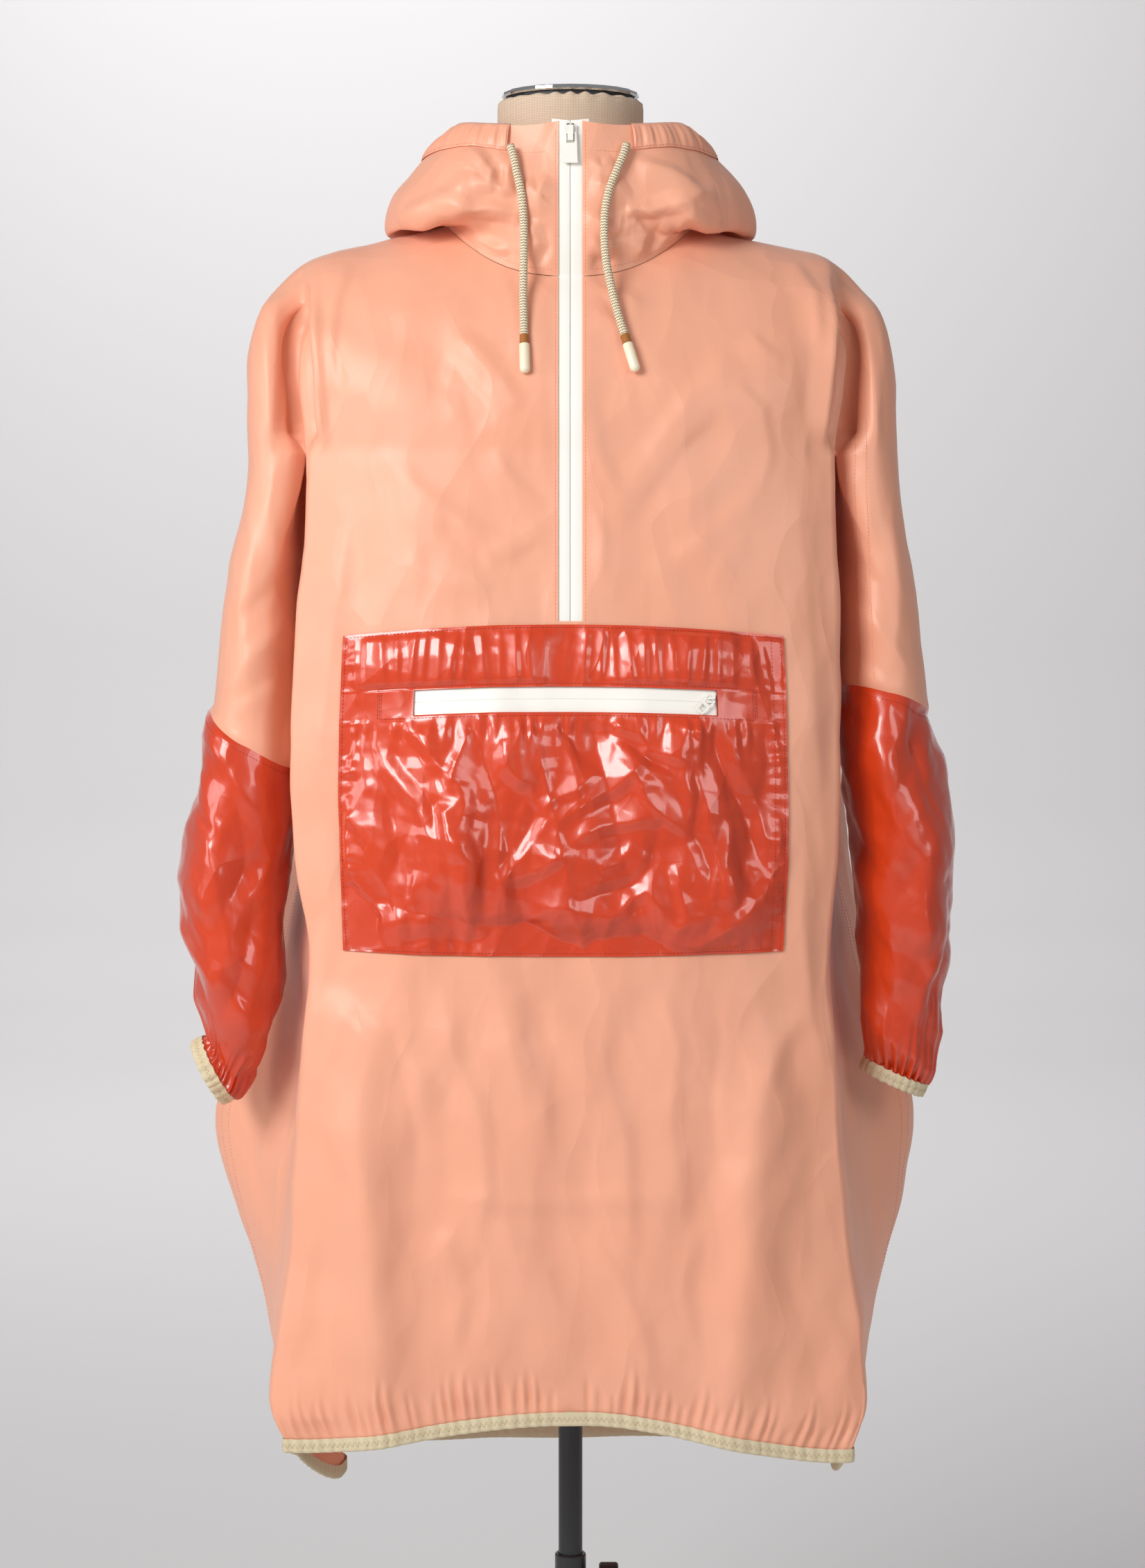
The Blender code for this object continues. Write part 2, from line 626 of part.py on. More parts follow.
def arm_angles():
    angles = [ARM_ANGLE * k / ARM_COLS for k in range(ARM_COLS + 1)]
    inner = 360.0 - 2 * ARM_ANGLE
    angles += [ARM_ANGLE + inner * k / (2 * FLANK_COLS) for k in range(1, 2 * FLANK_COLS + 1)]
    angles += [360.0 - ARM_ANGLE * k / ARM_COLS for k in range(ARM_COLS - 1, -1, -1)]
    return angles


def elbow_height(angle, side):
    arm = ARMS[side]
    f = 0.5 - 0.5 * math.cos(math.radians(angle))
    return mix(arm["elbow_out"], arm["elbow_in"], f)


def cuff_place(angle, side, out=0.0):
    arm = ARMS[side]
    middle = Vector(arm["cuff"])
    tilt = math.radians(arm["tilt"])
    a = math.radians(angle - arm["twist"])
    across = (CUFF_WIDE + out) * math.cos(a)
    return middle + Vector((across * math.cos(tilt), -(CUFF_DEEP + out) * math.sin(a),
                            across * math.sin(tilt)))


def cuff_away(side):
    """The direction in which the cuff's opening faces."""
    tilt = math.radians(ARMS[side]["tilt"])
    return Vector((side * math.sin(tilt), 0.0, -math.cos(tilt)))


def arm_top(side):
    """The sleeve's uppermost ring: the yoke's arm stretch and the sleeve's side of the armpit."""
    yoke = yoke_row(1.0, side)
    reach = FRONT_COLS + FOLD_COLS
    front = yoke[reach : reach + ARM_COLS + 1][::-1]
    back = yoke[reach + ARM_COLS : reach + 2 * ARM_COLS + 1][::-1]
    start, end = front[-1], back[0]
    inner = []
    for k in range(1, 2 * FLANK_COLS):
        w = k / (2 * FLANK_COLS)
        p = mix(start, end, w)
        p.x += side * 0.0105 * math.sin(math.pi * w)
        inner.append(p)
    return front + inner + back


def arm_row(f, side):
    """A ring of the upper sleeve, f = 0 at the armpit and 1 at the elbow seam."""
    row = []
    for top, angle in zip(arm_top(side), arm_angles()):
        z = mix(ARMPIT_Z, elbow_height(angle, side), f)
        p = sleeve_place(z, angle, side)
        p.x *= side
        p = mix(top, p, ease(f / 0.45))
        p.z = z
        row.append(p)
    return row


def cuff_row(f, side, fine=False):
    """A ring of the lower sleeve, f = 0 at the elbow seam and 1 at the binding."""
    angles = arm_angles()
    if fine:
        halves = []
        for a, b in zip(angles, angles[1:]):
            halves += [a, (a + b) / 2]
        angles = halves + [angles[-1]]
    row = []
    for k, angle in enumerate(angles):
        end = cuff_place(angle, side)
        z = mix(elbow_height(angle, side), end.z, f)
        p = sleeve_place(z, angle, side)
        p = mix(p, end, ease((f - 0.62) / 0.38))
        if fine:
            swing = 1.0 if k % 2 == 0 else -1.0
            grown = 0.0036 * (1 - ease((f - 0.88) / 0.12)) * ease((f - 0.62) / 0.2)
            middle = Vector(ARMS[side]["cuff"])
            out = Vector((p.x - middle.x, p.y - middle.y, 0.0)).normalized()
            p += out * grown * swing * (0.8 + 0.2 * math.sin(1.9 * k))
        p.x *= side
        row.append(p)
    row[-1] = row[0].copy()
    return row


def build_cloth():
    """Front, back and sleeves as one sheet, in pieces that meet at the seams."""
    sheet = Sheet()
    reach = FRONT_COLS + FOLD_COLS
    side_seam = reach + FLANK_COLS
    over_arm = reach + ARM_COLS
    middle_y = {}
    for drop in (*BODY_ROWS, *HEM_ROWS):
        edges = [body_row(drop, side, fine=drop in HEM_ROWS)[0].y for side in (1, -1)]
        middle_y[drop] = sum(edges) / 2
    for side in (1, -1):
        flip = side < 0
        yoke = [yoke_row(level, side) for level in YOKE_ROWS]
        sheet.grid("front", [row[: over_arm + 1] for row in yoke], flip)
        sheet.grid("back", [row[over_arm:] for row in yoke], flip)
        body = [body_row(drop, side) for drop in BODY_ROWS]
        hem = [body_row(drop, side, fine=True) for drop in HEM_ROWS]
        sheet.grid("front", [row[: side_seam + 1] for row in body], flip)
        sheet.grid("back", [row[side_seam:] for row in body], flip)
        sheet.split("front", body[-1][: side_seam + 1], hem[0][: 2 * side_seam + 1], flip)
        sheet.split("back", body[-1][side_seam:], hem[0][2 * side_seam :], flip)
        sheet.grid("front", [row[: 2 * side_seam + 1] for row in hem], flip)
        sheet.grid("back", [row[2 * side_seam :] for row in hem], flip)
        # the strip between the zip's foot and the hem is closed, half on each side
        centre = []
        for drop, row in zip((*BODY_ROWS, *HEM_ROWS), body + hem):
            if row[0].z < 1.17:
                centre.append([Vector((0.0, middle_y[drop], row[0].z)), row[0]])
        sheet.grid("front", centre, flip)
        sheet.brim(hem[-1] + centre[-1], Vector((0.0, 0.0, 1.0)))
        # the armpit: an arch from the body's side over to the sleeve's inner side
        arm = [arm_row(f, side) for f in SLEEVE_ROWS]
        low = body[0][reach : reach + 2 * FLANK_COLS + 1]
        high = arm[0][ARM_COLS : ARM_COLS + 2 * FLANK_COLS + 1]
        arch = [low]
        for f in (1 / 3, 2 / 3):
            step = []
            for k, (a, b) in enumerate(zip(low, high)):
                p = mix(a, b, f)
                p.z += 0.006 * math.sin(math.pi * k / (2 * FLANK_COLS))
                step.append(p)
            arch.append(step)
        arch.append(high)
        sheet.grid("front", [row[: FLANK_COLS + 1] for row in arch], not flip)
        sheet.grid("back", [row[FLANK_COLS:] for row in arch], not flip)
        under = ARM_COLS + FLANK_COLS
        sheet.grid("front", [row[: under + 1] for row in arm], not flip)
        sheet.grid("back", [row[under:] for row in arm], not flip)
        name = "sleeve_right" if side > 0 else "sleeve_left"
        lower = [cuff_row(f, side) for f in CUFF_COARSE]
        fine = [cuff_row(f, side, fine=True) for f in CUFF_FINE]
        lower[0] = arm[-1]
        sheet.grid(name, lower, not flip)
        sheet.split(name, lower[-1], fine[0], not flip)
        sheet.grid(name, fine, not flip)
        sheet.brim(fine[-1], cuff_away(side))
    return sheet


def neck_angle(p):
    r = YOKE.at(0.0)
    deep = r["front"] if p.y < 0 else r["back"]
    return math.degrees(math.atan2(abs(p.x) / r["wide"], -p.y / deep))


def hood_profile(angle, side):
    """The hood's section as distances out and up from the neckline, one per row."""
    r = HOOD.at(angle)
    size = mix(1.0, LOBE_SIZE[side], ease((angle - 20) / 40) * ease((160 - angle) / 40))
    stations = [(0.0, 0.0)]
    for name in ("under", "fold", "lobe", "edge"):
        grown = size if name in ("fold", "lobe") else 1.0
        stations.append((r[name + "_r"] * grown, r[name + "_z"]))
    first = (-stations[1][0], -stations[1][1])
    last = (2 * stations[4][0] - stations[3][0], 2 * stations[4][1] - stations[3][1])
    fine = spline([first, *stations, last], (8, 8, 8, 8))
    lengths = [0.0]
    for a, b in zip(fine, fine[1:]):
        lengths.append(lengths[-1] + (b - a).length)
    found = []
    for row in HOOD_ROWS:
        want = row * lengths[-1]
        k = max(i for i in range(len(fine) - 1) if lengths[i] <= want or i == 0)
        f = (want - lengths[k]) / (lengths[k + 1] - lengths[k])
        found.append(mix(fine[k], fine[k + 1], min(f, 1.0)))
    return found


def hood_rows(side, cloth_tree):
    r = YOKE.at(0.0)
    ring = [yoke_row(0.0, side)[c] for c in HOOD_COLS]
    columns = []
    for p in ring:
        deep = r["front"] if p.y < 0 else r["back"]
        out = Vector((p.x / r["wide"] ** 2, p.y / deep**2, 0.0)).normalized()
        if abs(p.x) <= ZIP_HALF + 1e-6:
            out = Vector((0.0, out.y, 0.0)).normalized()
        column = []
        for k, step in enumerate(hood_profile(neck_angle(p), side)):
            place = p + out * step.x + Vector((0, 0, step.y + 0.0006))
            if k > 0:
                place = rest_on(cloth_tree, place, HOOD_REST)
                place.x = p.x if abs(p.x) <= ZIP_HALF + 1e-6 else place.x
            column.append(place)
        columns.append(column)
    return [[column[k] for column in columns] for k in range(len(HOOD_ROWS))]


def make_hood(cloth_tree):
    sheet = Sheet()
    edges = {}
    for side, name in ((1, "hood_right"), (-1, "hood_left")):
        rows = hood_rows(side, cloth_tree)
        edges[side] = [(row[0], row[1]) for row in rows[:0:-1]]
        sheet.grid(name, rows[::-1], side < 0)
        strip = [row[CASING_COL:] for row in rows[CASING_ROW:]]
        sheet.grid("casing", strip[::-1], side < 0)
    casing = sheet.faces.pop("casing")
    normals = sheet.normals()
    make_wall("hood_left", sheet, ["hood_left"], "peach_nylon")
    make_wall("hood_right", sheet, ["hood_right"], "peach_nylon")
    tree = tree_of(sheet)
    sheet.faces["casing"] = casing
    make_wall("hood_casing", sheet, ["casing"], "peach_nylon", LAID + CLOTH, CLOTH, 0.0, normals)
    return edges, tree


def make_garment():
    sheet = build_cloth()
    make_wall("front", sheet, ["front"], "peach_nylon")
    make_wall("back", sheet, ["back"], "peach_nylon")
    make_wall("sleeve_left", sheet, ["sleeve_left"], "red_nylon")
    make_wall("sleeve_right", sheet, ["sleeve_right"], "red_nylon")
    make_bindings()
    tree = tree_of(sheet)
    hood, hood_tree = make_hood(tree)
    make_zip(hood)
    front_tree = tree_of(sheet, ["front"])
    make_pocket(front_tree)
    make_sliders(front_tree)
    return tree, hood_tree


def make_bindings():
    sheet = Sheet()
    middle = body_row(1.0, 1, plain=True)
    for side in (1, -1):
        row = body_row(1.0, side, plain=True)
        row = [Vector((0.0, middle[0].y, middle[0].z)), *row[:-1], middle[-1]]
        rows = []
        for down in (LAID, LAID + BINDING):
            rows.append([p - Vector((0, 0, down)) for p in row])
        sheet.grid("hem_binding", rows, side < 0)
        name = "cuff_binding_right" if side > 0 else "cuff_binding_left"
        rows = []
        for down in (CUFF_GAP, CUFF_GAP + BINDING):
            ring = [cuff_place(angle, side) for angle in arm_angles()]
            ring[-1] = ring[0].copy()
            ring = [Vector((side * p.x, p.y, p.z)) for p in ring]
            rows.append([p + cuff_away(side) * down for p in ring])
        sheet.grid(name, rows, side > 0)
    for name in sheet.faces:
        make_wall(name, sheet, [name], "cream_elastic", lift=BINDING_LIFT,
                  thick=BINDING_THICK, trim=0.0)


# ---------------------------------------------------------------- zips and hard pieces
def plate(name, loops, thick, finish, place):
    """A flat plate: an outline and its windows as loops of (x, z) about the hinge line."""
    curve = bpy.data.curves.new(name, "CURVE")
    curve.dimensions = "2D"
    curve.fill_mode = "BOTH"
    curve.extrude = thick / 2
    for loop in loops:
        line = curve.splines.new("POLY")
        line.points.add(len(loop) - 1)
        for point, (x, z) in zip(line.points, loop):
            point.co = (x, z, 0.0, 1.0)
        line.use_cyclic_u = True
    obj = bpy.data.objects.new(name, curve)
    bpy.context.scene.collection.objects.link(obj)
    obj.matrix_world = place @ Matrix.Rotation(math.pi / 2, 4, "X")
    curve.materials.append(material(finish))
    return obj


def make_slider(name, sizes, place):
    """A slider: a flat body, and a bridge that rises from its foot and reaches over the pull."""
    half, low, high, thick, foot, gap, arm, bridge = sizes
    face = -thick
    shape = [
        (half, (0.0, low), (0.0, high)),
        (half * 0.95, (face, low + 0.0004), (face, high - 0.0004)),
        (bridge, (face, low + 0.0008), (face, -foot)),
        (bridge, (face - gap - arm, low + 0.0014), (face - gap, -foot)),
        (bridge, (face - gap - arm, high - 0.0012), (face - gap, high - 0.0018)),
        (bridge, (face - 0.0005, high - 0.0005), (face - 0.0005, high - 0.0018)),
    ]
    points = []
    for wide, (y0, z0), (y1, z1) in shape:
        points += [Vector((-wide, y0, z0)), Vector((wide, y0, z0))]
        points += [Vector((wide, y1, z1)), Vector((-wide, y1, z1))]
    faces = [[3, 2, 1, 0]]
    for k in range(len(shape) - 1):
        for n in range(4):
            a, b = 4 * k + n, 4 * k + (n + 1) % 4
            faces.append([a, b, b + 4, a + 4])
    last = len(points) - 4
    faces.append([last, last + 1, last + 2, last + 3])
    obj = add_mesh(name, points, faces, "white_plastic")
    obj.matrix_world = place
    return obj


class Ring(list):
    """The profile of a ring: it comes back to its start and leaves the axis free."""


def turned(name, profile, steps, finish, axis="Z", origin=(0.0, 0.0, 0.0)):
    """A turned solid. The profile is (radius, height) from the top down its outer side."""
    points, faces = [], []
    for r, h in profile:
        for s in range(steps):
            a = 2 * math.pi * s / steps
            p = Vector((r * math.cos(a), r * math.sin(a), h))
            points.append(Vector((p.z, p.x, p.y)) if axis == "X" else p)
    count = len(profile)
    is_ring = isinstance(profile, Ring)
    for k in range(count if is_ring else count - 1):
        n = (k + 1) % count
        for s in range(steps):
            t = (s + 1) % steps
            faces.append([k * steps + s, n * steps + s, n * steps + t, k * steps + t])
    if not is_ring:
        faces.append(list(range(steps)))
        faces.append([(count - 1) * steps + s for s in range(steps)][::-1])
    obj = add_mesh(name, points, faces, finish)
    obj.location = origin
    return obj


def make_zip(hood_edges):
    """Two tapes behind the zip edges, from the pocket up to the top of the collar."""
    for side, name in ((1, "zip_tape_right"), (-1, "zip_tape_left")):
        pairs = list(hood_edges[side])
        pairs += [yoke_row(level, side)[:2] for level in YOKE_ROWS]
        pairs += [body_row(drop, side)[:2] for drop in (*BODY_ROWS[1:2], ZIP_FOOT)]
        rows = []
        for edge, beside in pairs:
            f = (TAPE_WIDE - ZIP_HALF) / (abs(beside.x) - ZIP_HALF)
            middle = Vector((side * LAID / 2, edge.y, edge.z))
            rows.append([middle, edge, mix(edge, beside, f)])
        sheet = Sheet()
        sheet.grid("tape", rows, side < 0)
        make_wall(name, sheet, ["tape"], "white_zip", lift=-(CLOTH + 2.4 * LAID),
                  thick=TAPE_THICK, trim=0.0)


def make_sliders(front_tree):
    """The main slider at the collar and the pocket's slider, each with its pull at rest."""
    place = Matrix.Translation(ZIP_SLIDER) @ Matrix.Rotation(math.radians(-ZIP_LEAN), 4, "X")
    make_slider("zip_slider", ZIP_SLIDER_SIZES, place)
    hinge = place @ Matrix.Translation((0.0, -ZIP_HINGE_OUT, 0.0))
    plate("zip_pull", ZIP_PULL, ZIP_PULL_THICK, "white_plastic", hinge)
    across, down = POCKET_SLIDER
    middle = pocket_place(across, down, front_tree)
    along = (pocket_place(across + 0.02, down, front_tree) - middle).normalized()
    rise = middle - pocket_place(across, down + 0.02, front_tree)
    out = along.cross(rise).normalized()
    frame = Matrix((along, -out, out.cross(along))).transposed().to_4x4()
    seat = Matrix.Translation(middle - out * POCKET_SEAT) @ frame
    make_slider("pocket_slider", POCKET_SLIDER_SIZES, seat @ Matrix.Rotation(-math.pi / 2, 4, "Y"))
    hinge = seat @ Matrix.Translation((0.0, -POCKET_HINGE_OUT, 0.0))
    hinge = hinge @ Matrix.Rotation(math.radians(POCKET_PULL_TURN), 4, "Y")
    plate("pocket_pull", POCKET_PULL, POCKET_PULL_THICK, "white_plastic", hinge)


def front_depth(x, z):
    """How far the front panel stands forward at this place, pleats included."""
    side = 1 if x >= 0 else -1
    drop = (ARMPIT_Z - z) / (ARMPIT_Z - 0.535)
    for _ in range(4):
        r = BODY.at(drop)
        fold = r["fold_x"] + (LEFT_BODY.at(drop)["fold_x"] if side < 0 else 0.0)
        column = min(max((abs(x) - ZIP_HALF) / (fold - ZIP_HALF), 0.0), 1.0) * FRONT_COLS
        drop = (ARMPIT_Z - z) / (ARMPIT_Z - hem_height(column, side))
    y = mix(r["front"], r["fold_y"], (abs(x) / fold) ** 3)
    return y + pleat_height(x, drop, 0)


def pocket_place(across, down, front_tree):
    """A point of the pocket: across 0 to 1 from left to right, down 0 to 1 from its top."""
    x = mix(POCKET_LEFT, POCKET_RIGHT, across)
    x += 0.004 * math.sin(math.pi * down) * (2 * across - 1)
    z = mix(POCKET_TOP_Z, POCKET_LOW_Z, down)
    bow = (2 * across - 1) ** 2
    z -= mix(0.0095, -0.002, down) * bow
    edge = min(across, 1 - across) * (POCKET_RIGHT - POCKET_LEFT)
    foot = (1 - down) * (POCKET_TOP_Z - POCKET_LOW_Z)
    puff = POCKET_PUFF * ease(edge / 0.05) * ease(foot / 0.035)
    puff *= mix(0.30, 1.0, ease((down - 0.15) / 0.35)) * ease(down / 0.09)
    p = Vector((x, -front_depth(x, z), z))
    p = rest_on(front_tree, p, 2.5 * LAID + CLOTH)
    p.y -= puff
    return p


def make_pocket(front_tree):
    """The patch pocket: a puffed wall with a window, and the zip tape behind the window."""
    sheet = Sheet()
    rows = []
    for down in POCKET_DOWN:
        rows.append([pocket_place(across, down, front_tree) for across in POCKET_ACROSS])
    top, low = POCKET_DOWN.index(WINDOW_TOP), POCKET_DOWN.index(WINDOW_LOW)
    left, right = POCKET_ACROSS.index(WINDOW_LEFT), POCKET_ACROSS.index(WINDOW_RIGHT)
    sheet.grid("pocket", rows[: top + 1])
    sheet.grid("pocket", rows[low:])
    sheet.grid("pocket", [row[: left + 1] for row in rows[top : low + 1]])
    sheet.grid("pocket", [row[right:] for row in rows[top : low + 1]])
    make_wall("pocket", sheet, ["pocket"], "red_nylon", trim=0.0)
    tape = Sheet()
    across = [WINDOW_LEFT - 0.013, *POCKET_ACROSS[left : right + 1], WINDOW_RIGHT + 0.013]
    rows = []
    for down in (WINDOW_TOP - 0.018, WINDOW_TOP, WINDOW_LOW, WINDOW_LOW + 0.018):
        rows.append([pocket_place(a, down, front_tree) for a in across])
    tape.grid("tape", rows)
    make_wall("pocket_zip_tape", tape, ["tape"], "white_zip", lift=-(CLOTH + 3 * LAID),
              thick=TAPE_THICK, trim=0.0)


# ---------------------------------------------------------------- the dress form
def torso_rows():
    """Half of the form, on the +X side, from the neck's top to the flat underside."""
    side = 1
    columns = TORSO_COLS
    rows = []
    neck = [yoke_row(0.0, side)[c] for c in columns]
    for f, z in ((1.0, NECK_TOP_Z), (1.0, 1.552), (0.97, 1.528), (0.78, 1.508), (0.38, None)):
        row = []
        for p, angle in zip(neck, (neck_angle(q) for q in neck)):
            a = math.radians(angle)
            circle = Vector((side * NECK_R * math.sin(a), -NECK_R * math.cos(a), 0.0))
            q = mix(Vector((p.x, p.y, 0.0)) * 0.975, circle, f)
            q.z = z if z else mix(p.z, 1.505, 0.42)
            row.append(q)
        rows.append(row)
    sheet = Sheet()
    levels = [0.0, 0.14, 0.28, 0.42]
    sheet.grid("yoke", [yoke_row(level, side) for level in levels], side < 0)
    normals = sheet.normals()
    for level in levels[:3]:
        ring = yoke_row(level, side)
        row = []
        for c in columns:
            p = ring[c]
            n = normals[sheet.point(p)]
            rise = (abs(p.x) / YOKE.at(level)["wide"]) ** 2.5
            row.append(p - n * mix(TORSO_CLEAR, CLOTH + 0.0005, ease(rise / 0.8)))
        rows.append(row)
    last = rows[-1]
    for f in (0.16, 0.4, 0.7, 1.0):
        row = []
        for c, p in zip(columns, last):
            z = mix(p.z, 1.33, f)
            row.append(torso_place(c, z, side))
        rows.append(row)
    for z in (1.25, 1.16, 1.08, 1.0, 0.92, 0.872):
        rows.append([torso_place(c, z, side) for c in columns])
    low = [torso_place(c, 0.872, side) for c in columns]
    rows.append([Vector((p.x * 0.96, p.y * 0.96, TORSO_LOW_Z)) for p in low])
    for row in rows:
        row[0].x = 0.0
        row[-1].x = 0.0
    return rows


def torso_place(column, z, side):
    r = TORSO.at(z)
    p = yoke_row(0.28, side)[column]
    ring = YOKE.at(0.28)
    deep = ring["front"] if p.y < 0 else ring["back"]
    a = math.atan2((abs(p.x) / ring["wide"]) ** 1.1, (abs(p.y) / deep) ** 1.1)
    x = r["wide"] * math.sin(a) ** 0.9
    y = (r["front"] if p.y < 0 else r["back"]) * math.cos(a) ** 0.9
    return Vector((side * x, -y if p.y < 0 else y, z))


def make_torso():
    sheet = Sheet()
    half = torso_rows()
    other = [[Vector((-p.x, p.y, p.z)) for p in row] for row in half]
    sheet.grid("torso", half, False)
    sheet.grid("torso", other, True)
    ends = [(rows[0], rows[-1]) for rows in (half, other)]
    for k, flip in ((0, False), (1, True)):
        loop = ends[0][k] + ends[1][k][::-1][1:-1]
        ids = [sheet.point(p) for p in loop]
        sheet.faces["torso"].append(ids[::-1] if flip else ids)
    add_mesh("form_torso", sheet.points, sheet.faces["torso"], "linen", sharp=35.0)


def make_stand():
    turned("neck_cap", [(0.012, CAP_Z + 0.0105), (0.050, CAP_Z + 0.0085), (0.0520, CAP_Z + 0.006),
                        (0.0520, CAP_Z)], 24, "black_plastic")
    turned("neck_rim", Ring([(0.0528, RIM_Z + 0.0018), (0.0540, RIM_Z + 0.0022),
                             (0.0557, RIM_Z + 0.0012), (0.0560, RIM_Z - 0.0008),
                             (0.0548, RIM_Z - 0.0022), (0.0523, RIM_Z - 0.0018)]), 24, "chrome")
    turned("pole", [(POLE_R, TORSO_LOW_Z - LAID), (POLE_R, POLE_LOW_Z)], 24, "black_metal")
    inner = POLE_R + 0.0004
    turned("tube", Ring([(inner, TUBE_TOP_Z), (TUBE_R - 0.001, TUBE_TOP_Z),
                         (TUBE_R, TUBE_TOP_Z - 0.001), (TUBE_R, BASE_THICK + LAID),
                         (inner, BASE_THICK + LAID)]), 24, "black_metal")
    turned("base", [(BASE_R - 0.004, BASE_THICK), (BASE_R, BASE_THICK - 0.004), (BASE_R, 0.0)],
           36, "black_metal")
    knob = [(KNOB_R - 0.0015, 0.016), (KNOB_R, 0.0145), (KNOB_R, 0.0015), (KNOB_R - 0.0015, 0.0),
            (0.0034, 0.0), (0.0034, -0.0105)]
    turned("clamp_knob", knob, 16, "black_plastic", axis="X", origin=(KNOB_X, 0.0, KNOB_Z))


# ---------------------------------------------------------------- drawcords
def route_of(points):
    """A smooth curve through the cord's own points, with a point every two or three widths."""
    ghost = [Vector(points[0]) * 2 - Vector(points[1]), *map(Vector, points)]
    ghost.append(Vector(points[-1]) * 2 - Vector(points[-2]))
    return spline(ghost, (1,) * (len(points) - 1))


def rod(name, start, along, profile, steps, finish):
    """A turned piece whose axis starts at a point and runs along a direction."""
    obj = turned(name, profile, steps, finish)
    obj.rotation_mode = "QUATERNION"
    obj.rotation_quaternion = along.normalized().to_track_quat("-Z", "Y")
    obj.location = start
    return obj


def make_cord(name, points):
    route = route_of(points)
    curve = bpy.data.curves.new("drawcord_" + name, "CURVE")
    curve.dimensions = "3D"
    curve.bevel_depth = CORD_R
    curve.bevel_resolution = 2
    curve.use_fill_caps = True
    line = curve.splines.new("POLY")
    line.points.add(len(route) - 1)
    for point, p in zip(line.points, route):
        point.co = (*p, 1.0)
    curve.materials.append(material("cream_cord"))
    obj = bpy.data.objects.new("drawcord_" + name, curve)
    bpy.context.scene.collection.objects.link(obj)
    along = (route[-1] - route[-2]).normalized()
    start = route[-1] + along * LAID
    rod("cord_wrap_" + name, start, along, [(0.0036, 0.0), (0.0036, -WRAP_LONG)], 12, "tan_wrap")
    start = start + along * (WRAP_LONG + LAID)
    tip = [(TIP_R - 0.0006, 0.0), (TIP_R, -0.0006), (TIP_R, -TIP_LONG + 0.003),
           (TIP_R * 0.8, -TIP_LONG + 0.001), (TIP_R * 0.4, -TIP_LONG)]
    rod("cord_tip_" + name, start, along, tip, 12, "cream_tip")


def main():
    clear_scene()
    make_garment()
    make_torso()
    make_stand()
    make_cord("left", CORD_LEFT)
    make_cord("right", CORD_RIGHT)


main()
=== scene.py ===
# %% [markdown]
# # A hooded windbreaker on its dress form
# The jacket is light peach nylon with glossy red lower sleeves and a red patch pocket. It hangs on a
# linen form on a pole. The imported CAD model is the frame: every piece below is made in metres in the
# same place, rides on one of its bodies, and replaces the plain CAD solid that it stands for.

# %% The frame and the tools
import json
import math

import bpy
import numpy as np
from mathutils import Matrix, Vector, noise
from mathutils.bvhtree import BVHTree

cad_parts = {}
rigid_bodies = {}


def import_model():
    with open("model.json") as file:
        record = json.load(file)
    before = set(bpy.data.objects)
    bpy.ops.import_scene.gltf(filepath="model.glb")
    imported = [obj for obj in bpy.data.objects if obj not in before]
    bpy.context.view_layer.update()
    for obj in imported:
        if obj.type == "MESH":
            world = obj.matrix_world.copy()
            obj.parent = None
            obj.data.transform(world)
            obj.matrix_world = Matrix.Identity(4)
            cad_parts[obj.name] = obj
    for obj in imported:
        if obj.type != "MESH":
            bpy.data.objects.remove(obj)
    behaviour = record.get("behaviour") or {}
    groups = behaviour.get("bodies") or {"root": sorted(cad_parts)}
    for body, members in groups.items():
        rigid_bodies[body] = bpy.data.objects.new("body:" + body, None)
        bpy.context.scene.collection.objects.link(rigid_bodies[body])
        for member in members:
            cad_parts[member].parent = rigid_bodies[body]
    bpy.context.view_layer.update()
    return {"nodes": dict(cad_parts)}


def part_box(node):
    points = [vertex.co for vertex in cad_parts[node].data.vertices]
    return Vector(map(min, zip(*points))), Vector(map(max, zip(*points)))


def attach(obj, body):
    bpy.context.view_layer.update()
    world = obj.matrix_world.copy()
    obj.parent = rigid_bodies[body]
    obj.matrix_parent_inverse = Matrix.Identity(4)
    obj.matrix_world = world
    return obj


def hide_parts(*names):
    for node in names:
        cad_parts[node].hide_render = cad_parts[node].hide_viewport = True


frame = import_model()

# %% [markdown]
# ## Colours and nodes
# Colours are written as the sRGB hex that a picture shows, and one function turns them to the linear
# values that shaders use. One small function adds a node, so each material reads as a short list of
# what it is made of.


# %% Colour and node helpers
def linear(code):
    """An sRGB hex colour as linear RGBA."""
    parts = [int(code[i : i + 2], 16) / 255 for i in (0, 2, 4)]
    return (*[c / 12.92 if c <= 0.04045 else ((c + 0.055) / 1.055) ** 2.4 for c in parts], 1.0)


def add_node(material, kind, links=(), **settings):
    """Adds a node. A setting is a socket's value where the node has such a socket, and else a
    property. Each link is (socket of this node, other node, its output)."""
    node = material.node_tree.nodes.new(kind)
    for name, value in settings.items():
        socket = node.inputs.get(name.replace("_", " ").title()) or node.inputs.get(name)
        if socket is not None and not hasattr(node, name):
            socket.default_value = value
        else:
            setattr(node, name, value)
    for socket, other, output in links:
        material.node_tree.links.new(node.inputs[socket], other.outputs[output])
    return node


def new_finish(name, colour, roughness, **sockets):
    """A Principled material with its constants set on the shader's own sockets."""
    finish = bpy.data.materials.new(name)
    finish.use_nodes = True
    shader = finish.node_tree.nodes["Principled BSDF"]
    shader.inputs["Base Color"].default_value = linear(colour)
    shader.inputs["Roughness"].default_value = roughness
    for socket, value in sockets.items():
        shader.inputs[socket.replace("_", " ")].default_value = value
    finish.diffuse_color = linear(colour)
    return finish, shader


